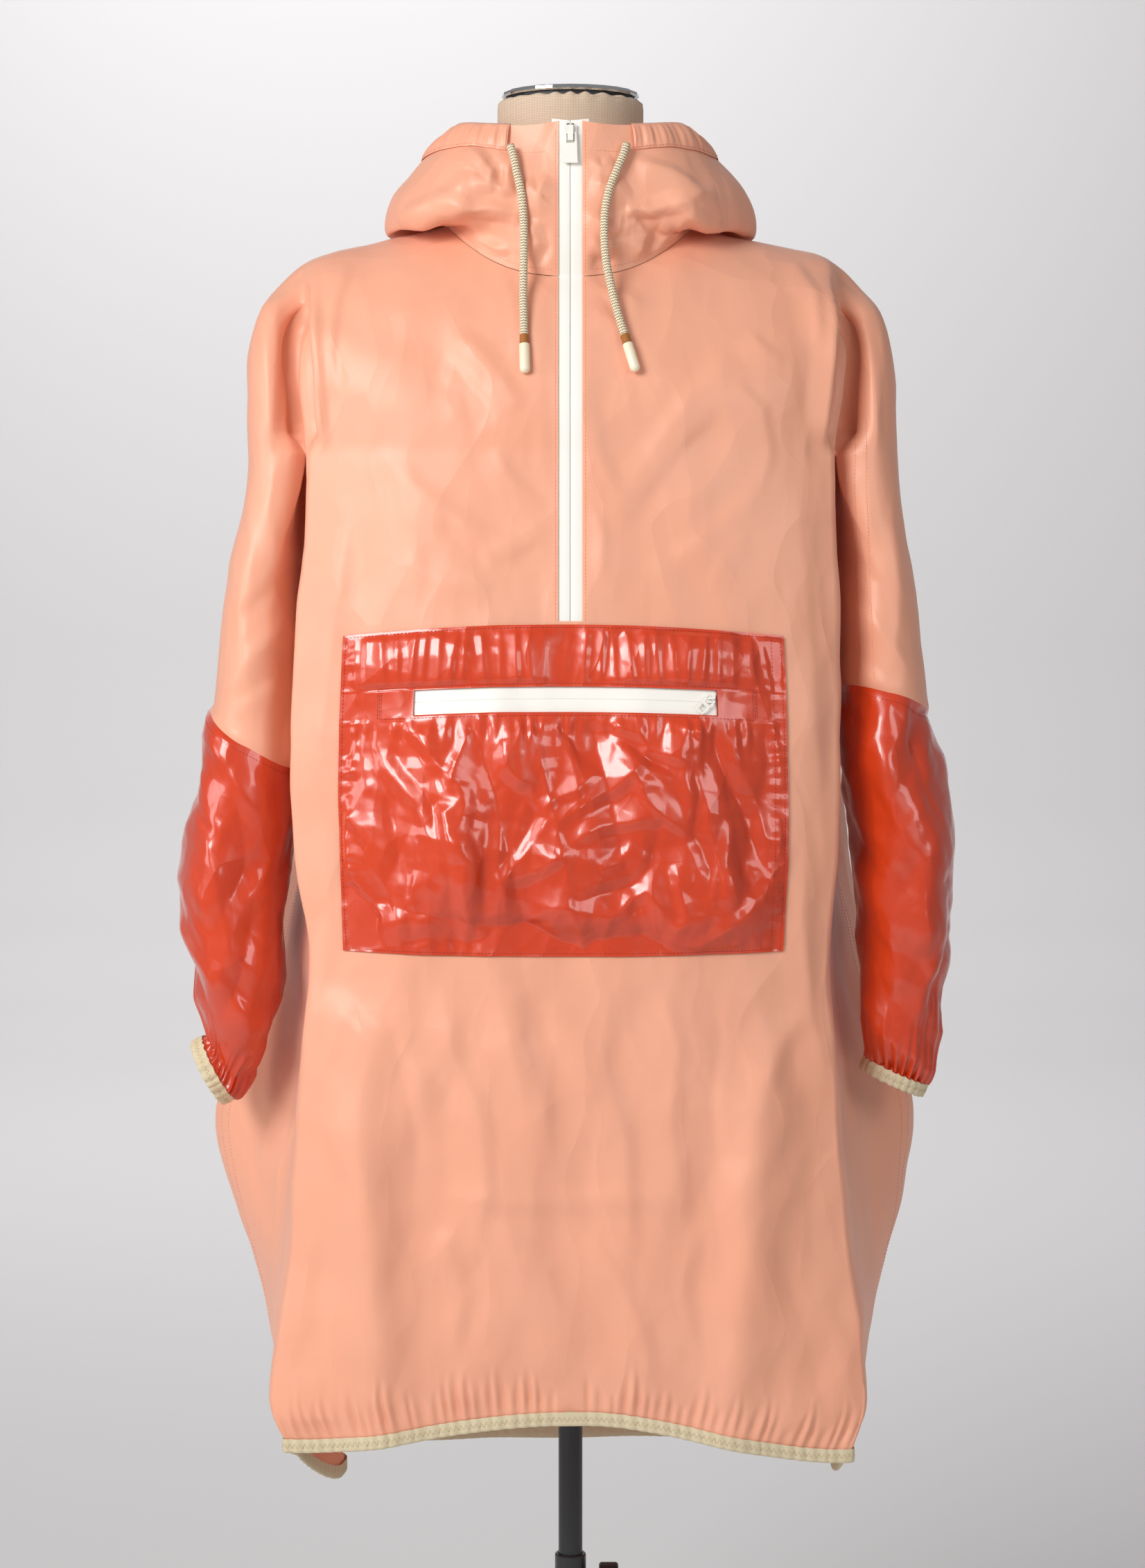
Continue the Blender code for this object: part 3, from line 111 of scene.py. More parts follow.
def link(finish, shader, socket, node, output):
    finish.node_tree.links.new(shader.inputs[socket], node.outputs[output])


# %% [markdown]
# ## Camera, light and floor
# The photo was taken square on, from a little above the pocket, with a long lens: the eye is 2.7 m
# away and looks down by under four degrees. A big soft light stands on the left, a weaker one fills
# from the right, and a pale backdrop and floor close the picture. The camera comes first, because
# everything else is judged through it.

# %% Camera
eye = bpy.data.cameras.new("studio_camera")
eye.lens, eye.sensor_width = 74.1, 36.0
camera = bpy.data.objects.new("studio_camera", eye)
bpy.context.scene.collection.objects.link(camera)
camera.location = (0.0017, -2.66, 1.204)
camera.rotation_euler = (math.radians(90.0 - 3.76), 0.0, 0.0)
bpy.context.scene.camera = camera


# %% Light and backdrop
def soft_light(name, place, aim, size, power):
    """A square area light that looks at a point."""
    lamp = bpy.data.lights.new(name, "AREA")
    lamp.shape, lamp.size, lamp.energy = "SQUARE", size, power
    obj = bpy.data.objects.new(name, lamp)
    obj.location = place
    obj.rotation_euler = (Vector(aim) - Vector(place)).to_track_quat("-Z", "Y").to_euler()
    bpy.context.scene.collection.objects.link(obj)
    return obj


soft_light("window_light", (-1.55, -2.05, 2.35), (0.0, 0.0, 1.1), 1.15, 59.0)
soft_light("side_light", (-2.3, -0.7, 1.5), (0.0, 0.0, 1.0), 0.9, 12.0)
soft_light("fill_light", (1.7, -2.5, 1.9), (0.0, 0.0, 1.0), 1.1, 16.0)
soft_light("wall_light", (-0.8, 3.4, 4.4), (0.0, 6.2, 1.3), 2.6, 125.0)
world = bpy.data.worlds.new("studio")
world.use_nodes = True
world.node_tree.nodes["Background"].inputs["Color"].default_value = linear("F3F3F5")
world.node_tree.nodes["Background"].inputs["Strength"].default_value = 0.30
bpy.context.scene.world = world
bpy.context.scene.view_settings.view_transform = "Standard"

paper, shader = new_finish("matt backdrop paper", "E4E2E2", 0.9)
sweep = [(-3.2, 0.0), (5.3, 0.0), (5.75, 0.06), (6.05, 0.24), (6.22, 0.55), (6.3, 1.0), (6.3, 4.6)]
mesh = bpy.data.meshes.new("backdrop")
mesh.from_pydata(
    [(x, y, z - 0.0005) for y, z in sweep for x in (-4.0, 4.0)],
    [],
    [(2 * k, 2 * k + 1, 2 * k + 3, 2 * k + 2) for k in range(len(sweep) - 1)],
)
mesh.shade_smooth()
backdrop = bpy.data.objects.new("backdrop", mesh)
backdrop.data.materials.append(paper)
bpy.context.scene.collection.objects.link(backdrop)
print("camera at", tuple(camera.location), "with", len(bpy.data.lights), "lights")

# %% [markdown]
# ## The sizes of the cloth's shape
# These tables are the ones the CAD cloth was drawn from, so that the fine cloth lies where the plain
# cloth did. YOKE runs from the neckline out over the shoulders to the armpits, BODY from there to the
# hem, SLEEVE down the arms, and HOOD gives the section of the hood round the neck.

# %% Sizes (metres)
FINER = 6  # columns of fine cloth for one column of the CAD cloth
ZIP_HALF, ARMPIT_Z = 0.0095, 1.300
POCKET_TOP_Z, POCKET_LOW_Z = 1.163, 0.905
POCKET_LEFT, POCKET_RIGHT, POCKET_PUFF = -0.178, 0.1665, 0.011
WINDOW = (0.167, 0.841, 0.186, 0.262)  # left, right, top and foot, as shares of the pocket
BINDING, CORD_R, HOOD_REST = 0.010, 0.0033, 0.0045
CLOTH, LAID, NECK_R, NECK_TOP_Z = 0.0012, 0.0003, 0.0590, 1.5835
FRONT_COLS, FOLD_COLS, FLANK_COLS, ARM_COLS = 12 * FINER, 2 * FINER, 4 * FINER, 7 * FINER


class Table:
    """Rows of named columns, read between rows with a smooth curve through them."""

    def __init__(self, names, rows):
        self.names = names.split()
        self.rows = rows

    def slope(self, i, c):
        low, high = max(i - 1, 0), min(i + 1, len(self.rows) - 1)
        a, b = self.rows[low], self.rows[high]
        return (b[c] - a[c]) / (b[0] - a[0])

    def at(self, key):
        rows = self.rows
        rising = rows[-1][0] > rows[0][0]
        i = 0
        while i < len(rows) - 2 and (key > rows[i + 1][0]) == rising and key != rows[i + 1][0]:
            i += 1
        a, b = rows[i], rows[i + 1]
        span = b[0] - a[0]
        f = min(max((key - a[0]) / span, 0.0), 1.0)
        found = {}
        for c, name in enumerate(self.names):
            m0, m1 = self.slope(i, c) * span, self.slope(i + 1, c) * span
            h = (2 * f**3 - 3 * f**2 + 1) * a[c] + (f**3 - 2 * f**2 + f) * m0
            h += (-2 * f**3 + 3 * f**2) * b[c] + (f**3 - f**2) * m1
            found[name] = h
        return found


YOKE = Table(
    "level wide  top_z  front  front_z back  back_z square drape",
    [
        (0.00, 0.102, 1.485, 0.088, 1.437, 0.075, 1.498, 2.00, 0.00),
        (0.14, 0.145, 1.474, 0.098, 1.420, 0.090, 1.475, 2.10, 0.00),
        (0.28, 0.186, 1.465, 0.106, 1.402, 0.100, 1.452, 2.20, 0.00),
        (0.42, 0.213, 1.456, 0.112, 1.385, 0.107, 1.430, 2.30, 0.00),
        (0.56, 0.231, 1.438, 0.116, 1.366, 0.112, 1.405, 2.35, 0.12),
        (0.70, 0.245, 1.412, 0.120, 1.345, 0.116, 1.375, 2.40, 0.45),
        (0.85, 0.257, 1.365, 0.125, 1.322, 0.121, 1.338, 2.40, 0.82),
        (1.00, 0.2665, 1.300, 0.128, 1.300, 0.125, 1.300, 2.40, 1.00),
    ],
)
BODY = Table(
    "drop  front  fold_x fold_y flank_x flank_y side_x side_y rear_x rear_y edge_x edge_y back",
    [
        (0.00, 0.128, 0.2090, 0.090, 0.2115, 0.060, 0.2055, 0.000, 0.2115, 0.060, 0.205, 0.095, 0.125),
        (0.13, 0.138, 0.2105, 0.100, 0.2125, 0.060, 0.2075, 0.005, 0.2140, 0.068, 0.213, 0.102, 0.135),
        (0.26, 0.148, 0.2125, 0.108, 0.2140, 0.060, 0.2110, 0.020, 0.2220, 0.080, 0.222, 0.112, 0.142),
        (0.40, 0.155, 0.2110, 0.115, 0.2145, 0.055, 0.2220, 0.050, 0.2350, 0.095, 0.238, 0.125, 0.148),
        (0.53, 0.160, 0.2040, 0.124, 0.2125, 0.042, 0.2500, 0.055, 0.2620, 0.098, 0.258, 0.132, 0.150),
        (0.60, 0.162, 0.2090, 0.127, 0.2180, 0.045, 0.2700, 0.044, 0.2800, 0.090, 0.266, 0.131, 0.151),
        (0.66, 0.164, 0.2115, 0.129, 0.2260, 0.045, 0.2830, 0.032, 0.2900, 0.080, 0.270, 0.130, 0.152),
        (0.75, 0.165, 0.2170, 0.133, 0.2350, 0.050, 0.2760, 0.026, 0.2790, 0.075, 0.262, 0.128, 0.153),
        (0.83, 0.165, 0.2235, 0.137, 0.2370, 0.065, 0.2570, 0.020, 0.2590, 0.070, 0.245, 0.124, 0.151),
        (0.90, 0.164, 0.2315, 0.141, 0.2380, 0.078, 0.2460, 0.010, 0.2460, 0.062, 0.234, 0.117, 0.149),
        (0.96, 0.162, 0.2340, 0.145, 0.2340, 0.090, 0.2330, 0.000, 0.2340, 0.056, 0.222, 0.111, 0.146),
        (1.00, 0.160, 0.2220, 0.148, 0.2200, 0.098, 0.2200, 0.000, 0.2230, 0.052, 0.212, 0.106, 0.143),
    ],
)
LEFT_BODY = Table(
    "drop  fold_x  side_x",
    [
        (0.00, -0.003, 0.000),
        (0.26, 0.006, 0.000),
        (0.40, 0.007, 0.002),
        (0.53, 0.000, 0.005),
        (0.66, 0.003, 0.010),
        (0.75, 0.003, 0.002),
        (0.90, -0.002, -0.004),
        (1.00, 0.003, -0.028),
    ],
)
HEM_Z = {  # middle, front corner, side seam, back corner, back
    1: (0.5440, 0.5110, 0.4660, 0.4560, 0.4520),
    -1: (0.5440, 0.5190, 0.4580, 0.4500, 0.4520),
}

# %% Sleeves, pleats and hood
SLEEVE = Table(
    "z      outer  inner  front  back",
    [
        (1.300, 0.2665, 0.2120, 0.078, 0.078),
        (1.250, 0.2730, 0.2215, 0.080, 0.078),
        (1.200, 0.2790, 0.2233, 0.082, 0.072),
        (1.150, 0.2850, 0.2225, 0.086, 0.066),
        (1.095, 0.2925, 0.2220, 0.090, 0.060),
        (1.040, 0.3050, 0.2235, 0.096, 0.052),
        (0.980, 0.3130, 0.2290, 0.100, 0.042),
        (0.930, 0.3145, 0.2315, 0.100, 0.030),
        (0.870, 0.3095, 0.2345, 0.095, 0.014),
        (0.830, 0.3040, 0.2390, 0.088, 0.000),
        (0.770, 0.2990, 0.2450, 0.080, -0.015),
    ],
)
ARMS = {
    1: dict(elbow_out=1.087, elbow_in=1.113, cuff=(0.2650, -0.050, 0.7985), tilt=-24.0, twist=36.0),
    -1: dict(elbow_out=1.094, elbow_in=1.045, cuff=(0.2870, -0.050, 0.8010), tilt=62.0, twist=8.0),
}
CUFF_WIDE, CUFF_DEEP = 0.0275, 0.0290
PLEATS = Table(
    "x_top  x_low  drop_top drop_low width  high  back",
    [
        (-0.178, -0.149, 0.53, 1.00, 0.026, 0.016, 0),
        (0.164, 0.125, 0.54, 1.00, 0.026, 0.015, 0),
        (-0.060, -0.040, 0.66, 0.98, 0.040, 0.005, 0),
        (0.050, 0.075, 0.62, 0.98, 0.036, 0.005, 0),
        (-0.165, -0.150, 0.20, 1.00, 0.030, 0.016, 1),
        (0.150, 0.158, 0.24, 1.00, 0.030, 0.015, 1),
        (-0.055, -0.070, 0.35, 1.00, 0.034, 0.009, 1),
        (0.060, 0.052, 0.30, 1.00, 0.036, 0.010, 1),
    ],
)
HOOD = Table(
    "angle under_r under_z fold_r fold_z lobe_r lobe_z edge_r edge_z",
    [
        (0.0, 0.0015, 0.022, 0.0015, 0.052, -0.002, 0.086, -0.0080, 0.1247),
        (30.0, 0.0020, 0.022, 0.0050, 0.046, 0.004, 0.074, -0.0060, 0.1120),
        (46.0, 0.0020, 0.016, 0.0160, 0.026, 0.020, 0.050, -0.0040, 0.1020),
        (62.0, 0.0040, 0.012, 0.0300, 0.006, 0.030, 0.034, -0.0020, 0.0900),
        (80.0, 0.0060, 0.010, 0.0410, -0.006, 0.036, 0.028, -0.0030, 0.0755),
        (110.0, 0.0080, 0.010, 0.0520, -0.016, 0.048, 0.020, -0.0020, 0.0680),
        (145.0, 0.0120, 0.008, 0.0680, -0.075, 0.076, -0.030, 0.0040, 0.0520),
        (180.0, 0.0160, 0.006, 0.0700, -0.130, 0.086, -0.075, 0.0100, 0.0420),
    ],
)
LOBE_SIZE = {1: 0.96, -1: 1.04}
CORD_LEFT = (
    (-0.0475, -0.0808, 1.5405),
    (-0.0450, -0.0836, 1.5320),
    (-0.0425, -0.0865, 1.5200),
    (-0.0385, -0.0894, 1.5010),
    (-0.0368, -0.0909, 1.4800),
    (-0.0366, -0.0952, 1.4600),
    (-0.0368, -0.0999, 1.4400),
    (-0.0370, -0.1049, 1.4200),
    (-0.0366, -0.1098, 1.4040),
    (-0.0362, -0.1144, 1.3895),
)
CORD_RIGHT = (
    (0.0445, -0.0816, 1.5415),
    (0.0415, -0.0846, 1.5320),
    (0.0365, -0.0877, 1.5200),
    (0.0305, -0.0906, 1.5040),
    (0.0272, -0.0926, 1.4860),
    (0.0268, -0.0964, 1.4660),
    (0.0285, -0.1004, 1.4460),
    (0.0325, -0.1044, 1.4260),
    (0.0375, -0.1090, 1.4060),
    (0.0425, -0.1142, 1.3895),
)


# %% [markdown]
# ## How a row of cloth is drawn
# A real tailor's pattern has few pieces here: front and back run out into the upper sleeves with no
# armhole seam. The cloth is drawn as rings: rings round the shoulders, rings round the body and rings
# round each arm, which share their points where they meet, so that no seam gapes. Each function gives
# one ring as points on one side of the body.

# %% Small helpers


def ease(f):
    f = min(max(f, 0.0), 1.0)
    return f * f * (3 - 2 * f)


def mix(a, b, f):
    return a + (b - a) * f


def power(value, exponent):
    return math.copysign(abs(value) ** exponent, value)


def spline(points, spans):
    """A smooth curve through the points, with spans[i] steps between points i+1 and i+2."""
    found = []
    for i, steps in enumerate(spans):
        a, b, c, d = (Vector(points[i + k]) for k in range(4))
        for s in range(steps):
            t = s / steps
            found.append(
                0.5
                * (
                    2 * b
                    + (c - a) * t
                    + (2 * a - 5 * b + 4 * c - d) * t**2
                    + (3 * b - a - 3 * c + d) * t**3
                )
            )
    found.append(Vector(points[len(spans) + 1]))
    return found


def rest_on(tree, p, gap):
    """The point itself, or where it rests on the surface with this gap."""
    place, normal, _, _ = tree.find_nearest(Vector(p))
    if (Vector(p) - place).dot(normal) >= gap:
        return Vector(p)
    return place + normal * gap


# %% Rings of the shoulders and the body


def neck_ring(level):
    """Half of a yoke ring on the +X side: front edge of the zip, fold, outside, fold, back."""
    r = YOKE.at(level)
    n = r["square"]
    fold = 0.90 * r["wide"]
    start = math.asin(0.90 ** (n / 2))
    ring = []
    for i in range(FRONT_COLS + 1):
        x = mix(ZIP_HALF, fold, i / FRONT_COLS)
        ring.append((x, -r["front"] * (1 - (x / r["wide"]) ** n) ** (1 / n)))
    turns = FOLD_COLS + ARM_COLS
    for i in range(1, turns + 1):
        a = mix(start, math.pi / 2, i / turns)
        ring.append((r["wide"] * math.sin(a) ** (2 / n), -r["front"] * math.cos(a) ** (2 / n)))
    for i in range(turns - 1, 0, -1):
        a = mix(start, math.pi / 2, i / turns)
        ring.append((r["wide"] * math.sin(a) ** (2 / n), r["back"] * math.cos(a) ** (2 / n)))
    for i in range(FRONT_COLS, -1, -1):
        x = fold * i / FRONT_COLS
        ring.append((x, r["back"] * (1 - (x / r["wide"]) ** n) ** (1 / n)))
    points = []
    for x, y in ring:
        middle_z = r["front_z"] if y < 0 else r["back_z"]
        rise = (x / r["wide"]) ** 2.5
        points.append(Vector((x, y, mix(middle_z, r["top_z"], rise))))
    return points


def body_ring(drop, side):
    """Half of a body ring: front, fold, flank, side seam, flank, back edge, back."""
    r = BODY.at(drop)
    if side < 0:
        extra = LEFT_BODY.at(drop)
        r["fold_x"] += extra["fold_x"]
        r["side_x"] += extra["side_x"]
        r["rear_x"] += extra["side_x"]
    ring = []
    for i in range(FRONT_COLS + 1):
        x = mix(ZIP_HALF, r["fold_x"], i / FRONT_COLS)
        ring.append(Vector((x, -mix(r["front"], r["fold_y"], (x / r["fold_x"]) ** 3))))
    before = 0.86 * r["fold_x"]
    after = 0.86 * r["edge_x"]
    stations = [
        (before, -mix(r["front"], r["fold_y"], 0.86**3)),
        (r["fold_x"], -r["fold_y"]),
        (r["flank_x"], -r["flank_y"]),
        (r["side_x"], r["side_y"]),
        (r["rear_x"], r["rear_y"]),
        (r["edge_x"], r["edge_y"]),
        (after, mix(r["back"], r["edge_y"], 0.86**3)),
    ]
    ring += spline(stations, (FOLD_COLS, FLANK_COLS, FLANK_COLS, FOLD_COLS))[1:]
    for i in range(FRONT_COLS - 1, -1, -1):
        x = r["edge_x"] * i / FRONT_COLS
        ring.append(Vector((x, mix(r["back"], r["edge_y"], (x / r["edge_x"]) ** 3))))
    return ring


def hem_height(column, side):
    middle, corner, seam, rear, back = HEM_Z[side]
    stations = (
        (0, middle),
        (FRONT_COLS, corner),
        (FRONT_COLS + FOLD_COLS + FLANK_COLS, seam),
        (FRONT_COLS + 2 * (FOLD_COLS + FLANK_COLS), rear),
        (2 * (FRONT_COLS + FOLD_COLS + FLANK_COLS), back),
    )
    for (c0, z0), (c1, z1) in zip(stations, stations[1:]):
        if column <= c1:
            return mix(z0, z1, ease((column - c0) / (c1 - c0)))
    return back


def pleat_height(x, drop, back):
    total = 0.0
    for x_top, x_low, top, low, width, high, behind in PLEATS.rows:
        if behind != back or drop < top:
            continue
        f = (drop - top) / (low - top)
        grown = ease(f / 0.45) * (1.0 - 0.55 * ease((f - 0.8) / 0.2))
        reach = (x - mix(x_top, x_low, min(f, 1.0))) / width
        total += high * grown * math.exp(-reach * reach)
    return total


def body_row(drop, side, fine=False):
    """A ring of the body. Fine rings have a point between each two columns as well."""
    ring = body_ring(drop, side)
    last = len(ring) - 1
    row = []
    for c in [k / 2 for k in range(2 * last + 1)] if fine else range(last + 1):
        low = int(c)
        p = ring[low] if c == low else (ring[low] + ring[low + 1]) / 2
        back = c > last / 2
        if low < FRONT_COLS or low > last - FRONT_COLS:
            p = Vector((p.x, p.y + (1 if back else -1) * pleat_height(side * p.x, drop, back)))
        if c in (0, last):
            p = Vector((ZIP_HALF if c == 0 else 0.0, p.y))
        hem = (hem_height(low, side) + hem_height(math.ceil(c), side)) / 2
        row.append(Vector((side * p.x, p.y, mix(ARMPIT_Z, hem, drop))))
    return row


def yoke_row(level, side):
    """A yoke ring, drawn into the body's and the sleeve's outline as it comes down."""
    ring = neck_ring(level)
    drape = YOKE.at(level)["drape"]
    body = body_ring(0.0, side)
    reach = FRONT_COLS + FOLD_COLS
    arm = []
    for k in range(ARM_COLS + 1):
        f = k / ARM_COLS
        place = sleeve_place(ARMPIT_Z, ARM_ANGLE * (1 - f), side)
        start = sleeve_place(ARMPIT_Z, ARM_ANGLE, side)
        valley = Vector((body[reach].x, body[reach].y, ARMPIT_Z))
        arm.append(place + (valley - start) * (1 - f) ** 2)
    for k in range(ARM_COLS - 1, -1, -1):
        f = k / ARM_COLS
        place = sleeve_place(ARMPIT_Z, -ARM_ANGLE * (1 - f), side)
        start = sleeve_place(ARMPIT_Z, -ARM_ANGLE, side)
        rear = body[reach + 2 * FLANK_COLS]
        valley = Vector((rear.x, rear.y, ARMPIT_Z))
        arm.append(place + (valley - start) * (1 - f) ** 2)
    target = [Vector((p.x, p.y, 0)) for p in body[: reach + 1]]
    target += [Vector((p.x, p.y, 0)) for p in arm[1:-1]]
    target += [Vector((p.x, p.y, 0)) for p in body[reach + 2 * FLANK_COLS :]]
    row = []
    for p, t in zip(ring, target):
        row.append(Vector((side * mix(p.x, t.x, drape), mix(p.y, t.y, drape), p.z)))
    return row


# %% Rings of the sleeves
ARM_ANGLE = 120.0  # from the outside of the sleeve to the valley that parts it from the body


def sleeve_place(z, angle, side):
    """A point of a sleeve's section. Angle 0 is outside, 90 the front and 180 the inner side."""
    r = SLEEVE.at(z)
    middle_x = (r["outer"] + r["inner"]) / 2
    middle_y = (r["back"] - r["front"]) / 2
    wide = (r["outer"] - r["inner"]) / 2
    deep = (r["back"] + r["front"]) / 2
    turn = ARMS[side]["twist"] * ease((ARMPIT_Z - z) / 0.14)
    a = math.radians(angle - turn)
    n = 2.3
    return Vector((middle_x + wide * power(math.cos(a), 2 / n),
                   middle_y - deep * power(math.sin(a), 2 / n), z))


def arm_angles():
    angles = [ARM_ANGLE * k / ARM_COLS for k in range(ARM_COLS + 1)]
    inner = 360.0 - 2 * ARM_ANGLE
    angles += [ARM_ANGLE + inner * k / (2 * FLANK_COLS) for k in range(1, 2 * FLANK_COLS + 1)]
    angles += [360.0 - ARM_ANGLE * k / ARM_COLS for k in range(ARM_COLS - 1, -1, -1)]
    return angles


def elbow_height(angle, side):
    arm = ARMS[side]
    f = 0.5 - 0.5 * math.cos(math.radians(angle))
    return mix(arm["elbow_out"], arm["elbow_in"], f)


def cuff_place(angle, side, out=0.0):
    arm = ARMS[side]
    middle = Vector(arm["cuff"])
    tilt = math.radians(arm["tilt"])
    a = math.radians(angle - arm["twist"])
    across = (CUFF_WIDE + out) * math.cos(a)
    return middle + Vector((across * math.cos(tilt), -(CUFF_DEEP + out) * math.sin(a),
                            across * math.sin(tilt)))


def cuff_away(side):
    """The direction in which the cuff's opening faces."""
    tilt = math.radians(ARMS[side]["tilt"])
    return Vector((side * math.sin(tilt), 0.0, -math.cos(tilt)))


def arm_top(side):
    """The sleeve's uppermost ring: the yoke's arm stretch and the sleeve's side of the armpit."""
    yoke = yoke_row(1.0, side)
    reach = FRONT_COLS + FOLD_COLS
    front = yoke[reach : reach + ARM_COLS + 1][::-1]
    back = yoke[reach + ARM_COLS : reach + 2 * ARM_COLS + 1][::-1]
    start, end = front[-1], back[0]
    inner = []
    for k in range(1, 2 * FLANK_COLS):
        w = k / (2 * FLANK_COLS)
        p = mix(start, end, w)
        p.x += side * 0.0105 * math.sin(math.pi * w)
        inner.append(p)
    return front + inner + back


def arm_row(f, side):
    """A ring of the upper sleeve, f = 0 at the armpit and 1 at the elbow seam."""
    row = []
    for top, angle in zip(arm_top(side), arm_angles()):
        z = mix(ARMPIT_Z, elbow_height(angle, side), f)
        p = sleeve_place(z, angle, side)
        p.x *= side
        p = mix(top, p, ease(f / 0.45))
        p.z = z
        row.append(p)
    return row


def cuff_row(f, side, fine=False):
    """A ring of the lower sleeve, f = 0 at the elbow seam and 1 at the binding."""
    angles = arm_angles()
    if fine:
        angles = [a for pair in zip(angles, angles[1:]) for a in (pair[0], sum(pair) / 2)]
        angles.append(360.0)
    row = []
    for angle in angles:
        end = cuff_place(angle, side)
        z = mix(elbow_height(angle, side), end.z, f)
        p = mix(sleeve_place(z, angle, side), end, ease((f - 0.62) / 0.38))
        row.append(Vector((side * p.x, p.y, p.z)))
    row[-1] = row[0].copy()
    return row


print("rings of", 2 * (FRONT_COLS + FOLD_COLS + ARM_COLS) + 1, "points a side")


# %% [markdown]
# ## The cloth as one sheet
# A sheet holds points and faces, and points that fall together are one point, so wrinkles made on it
# run across a seam as they do on sewn cloth. Each finished piece takes its own faces from the sheet.


# %% Sheet
class Sheet:
    def __init__(self):
        self.points, self.index, self.faces = [], {}, {}

    def point(self, p):
        key = (round(p[0] * 1e6), round(p[1] * 1e6), round(p[2] * 1e6))
        found = self.index.get(key)
        if found is None:
            found = self.index[key] = len(self.points)
            self.points.append(tuple(p))
        return found

    def ids(self, rows):
        return np.array([[self.point(p) for p in row] for row in rows])

    def add(self, piece, faces):
        """Faces as rows of four point numbers. A face whose corners fall together has three."""
        self.faces.setdefault(piece, []).append(faces)

    def grid(self, piece, rows, flip=False):
        n = rows if isinstance(rows, np.ndarray) else self.ids(rows)
        corners = [n[:-1, :-1], n[1:, :-1], n[1:, 1:], n[:-1, 1:]]
        faces = np.stack(corners[::-1] if flip else corners, axis=-1).reshape(-1, 4)
        self.add(piece, faces)
        return n

    def split(self, piece, upper, lower, flip=False):
        """Joins a row to the next one, which has twice as many columns."""
        left = np.stack([upper[:-1], lower[:-1:2], lower[1::2], lower[1::2]], axis=-1)
        right = np.stack([upper[:-1], lower[1::2], lower[2::2], upper[1:]], axis=-1)
        faces = np.concatenate([left, right])
        self.add(piece, faces[:, ::-1] if flip else faces)

    def piece(self, name):
        return np.concatenate(self.faces[name])


def normals_of(points, faces):
    """Unit normals at the points of an array of quads."""
    a, b, c, d = (points[faces[:, k]] for k in range(4))
    area = np.cross(c - a, d - b)
    found = np.zeros_like(points)
    for k in range(4):
        np.add.at(found, faces[:, k], area)
    return found / np.maximum(np.linalg.norm(found, axis=1), 1e-12)[:, None]


def make_mesh(name, points, faces, finish, body="form", smooth=True, nodes=()):
    """One object from arrays of points and quads, riding on a body in place of the CAD nodes."""
    used, local = np.unique(faces, return_inverse=True)
    local = local.reshape(faces.shape)
    rows = []
    for ids in local.tolist():
        ids = [i for k, i in enumerate(ids) if i not in ids[:k]]
        if len(ids) > 2:
            rows.append(ids)
    mesh = bpy.data.meshes.new(name)
    mesh.from_pydata(points[used].tolist(), [], rows)
    if smooth:
        mesh.shade_smooth()
    obj = bpy.data.objects.new(name, mesh)
    bpy.context.scene.collection.objects.link(obj)
    mesh.materials.append(finish)
    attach(obj, body)
    if nodes:
        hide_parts(*nodes)
    return obj


# %% [markdown]
# ## Creases
# Light nylon keeps sharp creases where it was pressed in the bag, and pulls into soft folds where it
# is sewn. The main creases are placed as lines with a width and a height; between them a fine
# uneven crumple fills in. A crease is a sharp line with a flat slope on each side, and it is steeper on
# one side, as a real one is, because a round even ridge looks like a cushion.


# %% Crease and crumple functions
def smooth_step(f):
    f = np.clip(f, 0.0, 1.0)
    return f * f * (3 - 2 * f)


def crease_lift(places, lines, unit=0.001):
    """Height at each 2-D place from lines of (width, height, points), all in the table's unit."""
    total = np.zeros(len(places))
    for width, height, line in lines:
        line = np.array(line, float) * unit
        wide = width * unit
        low, high = line.min(axis=0) - 3.3 * wide, line.max(axis=0) + 3.3 * wide
        near = np.nonzero(((places >= low) & (places <= high)).all(axis=1))[0]
        if not len(near):
            continue
        p = places[near]
        lengths = np.linalg.norm(np.diff(line, axis=0), axis=1)
        whole, start = lengths.sum(), 0.0
        best = np.full(len(p), 1e9)
        side, along = np.zeros(len(p)), np.zeros(len(p))
        for a, b, long in zip(line, line[1:], lengths):
            step = (b - a) / long
            t = np.clip((p - a) @ step, 0.0, long)
            off = p - (a + t[:, None] * step)
            away = np.linalg.norm(off, axis=1)
            closer = away < best
            best[closer] = away[closer]
            side[closer] = (step[0] * off[:, 1] - step[1] * off[:, 0])[closer]
            along[closer] = ((start + t) / whole)[closer]
            start += long
        reach = best / (wide * np.where(side > 0, 1.3, 3.2))
        tent = np.clip(1.06 - np.sqrt(reach**2 + 0.0036), 0.0, 1.0) ** 1.3
        fade = np.clip(np.minimum(along, 1 - along) * 4.0, 0.0, 1.0) ** 0.7
        total[near] += height * unit * fade * tent
    return total


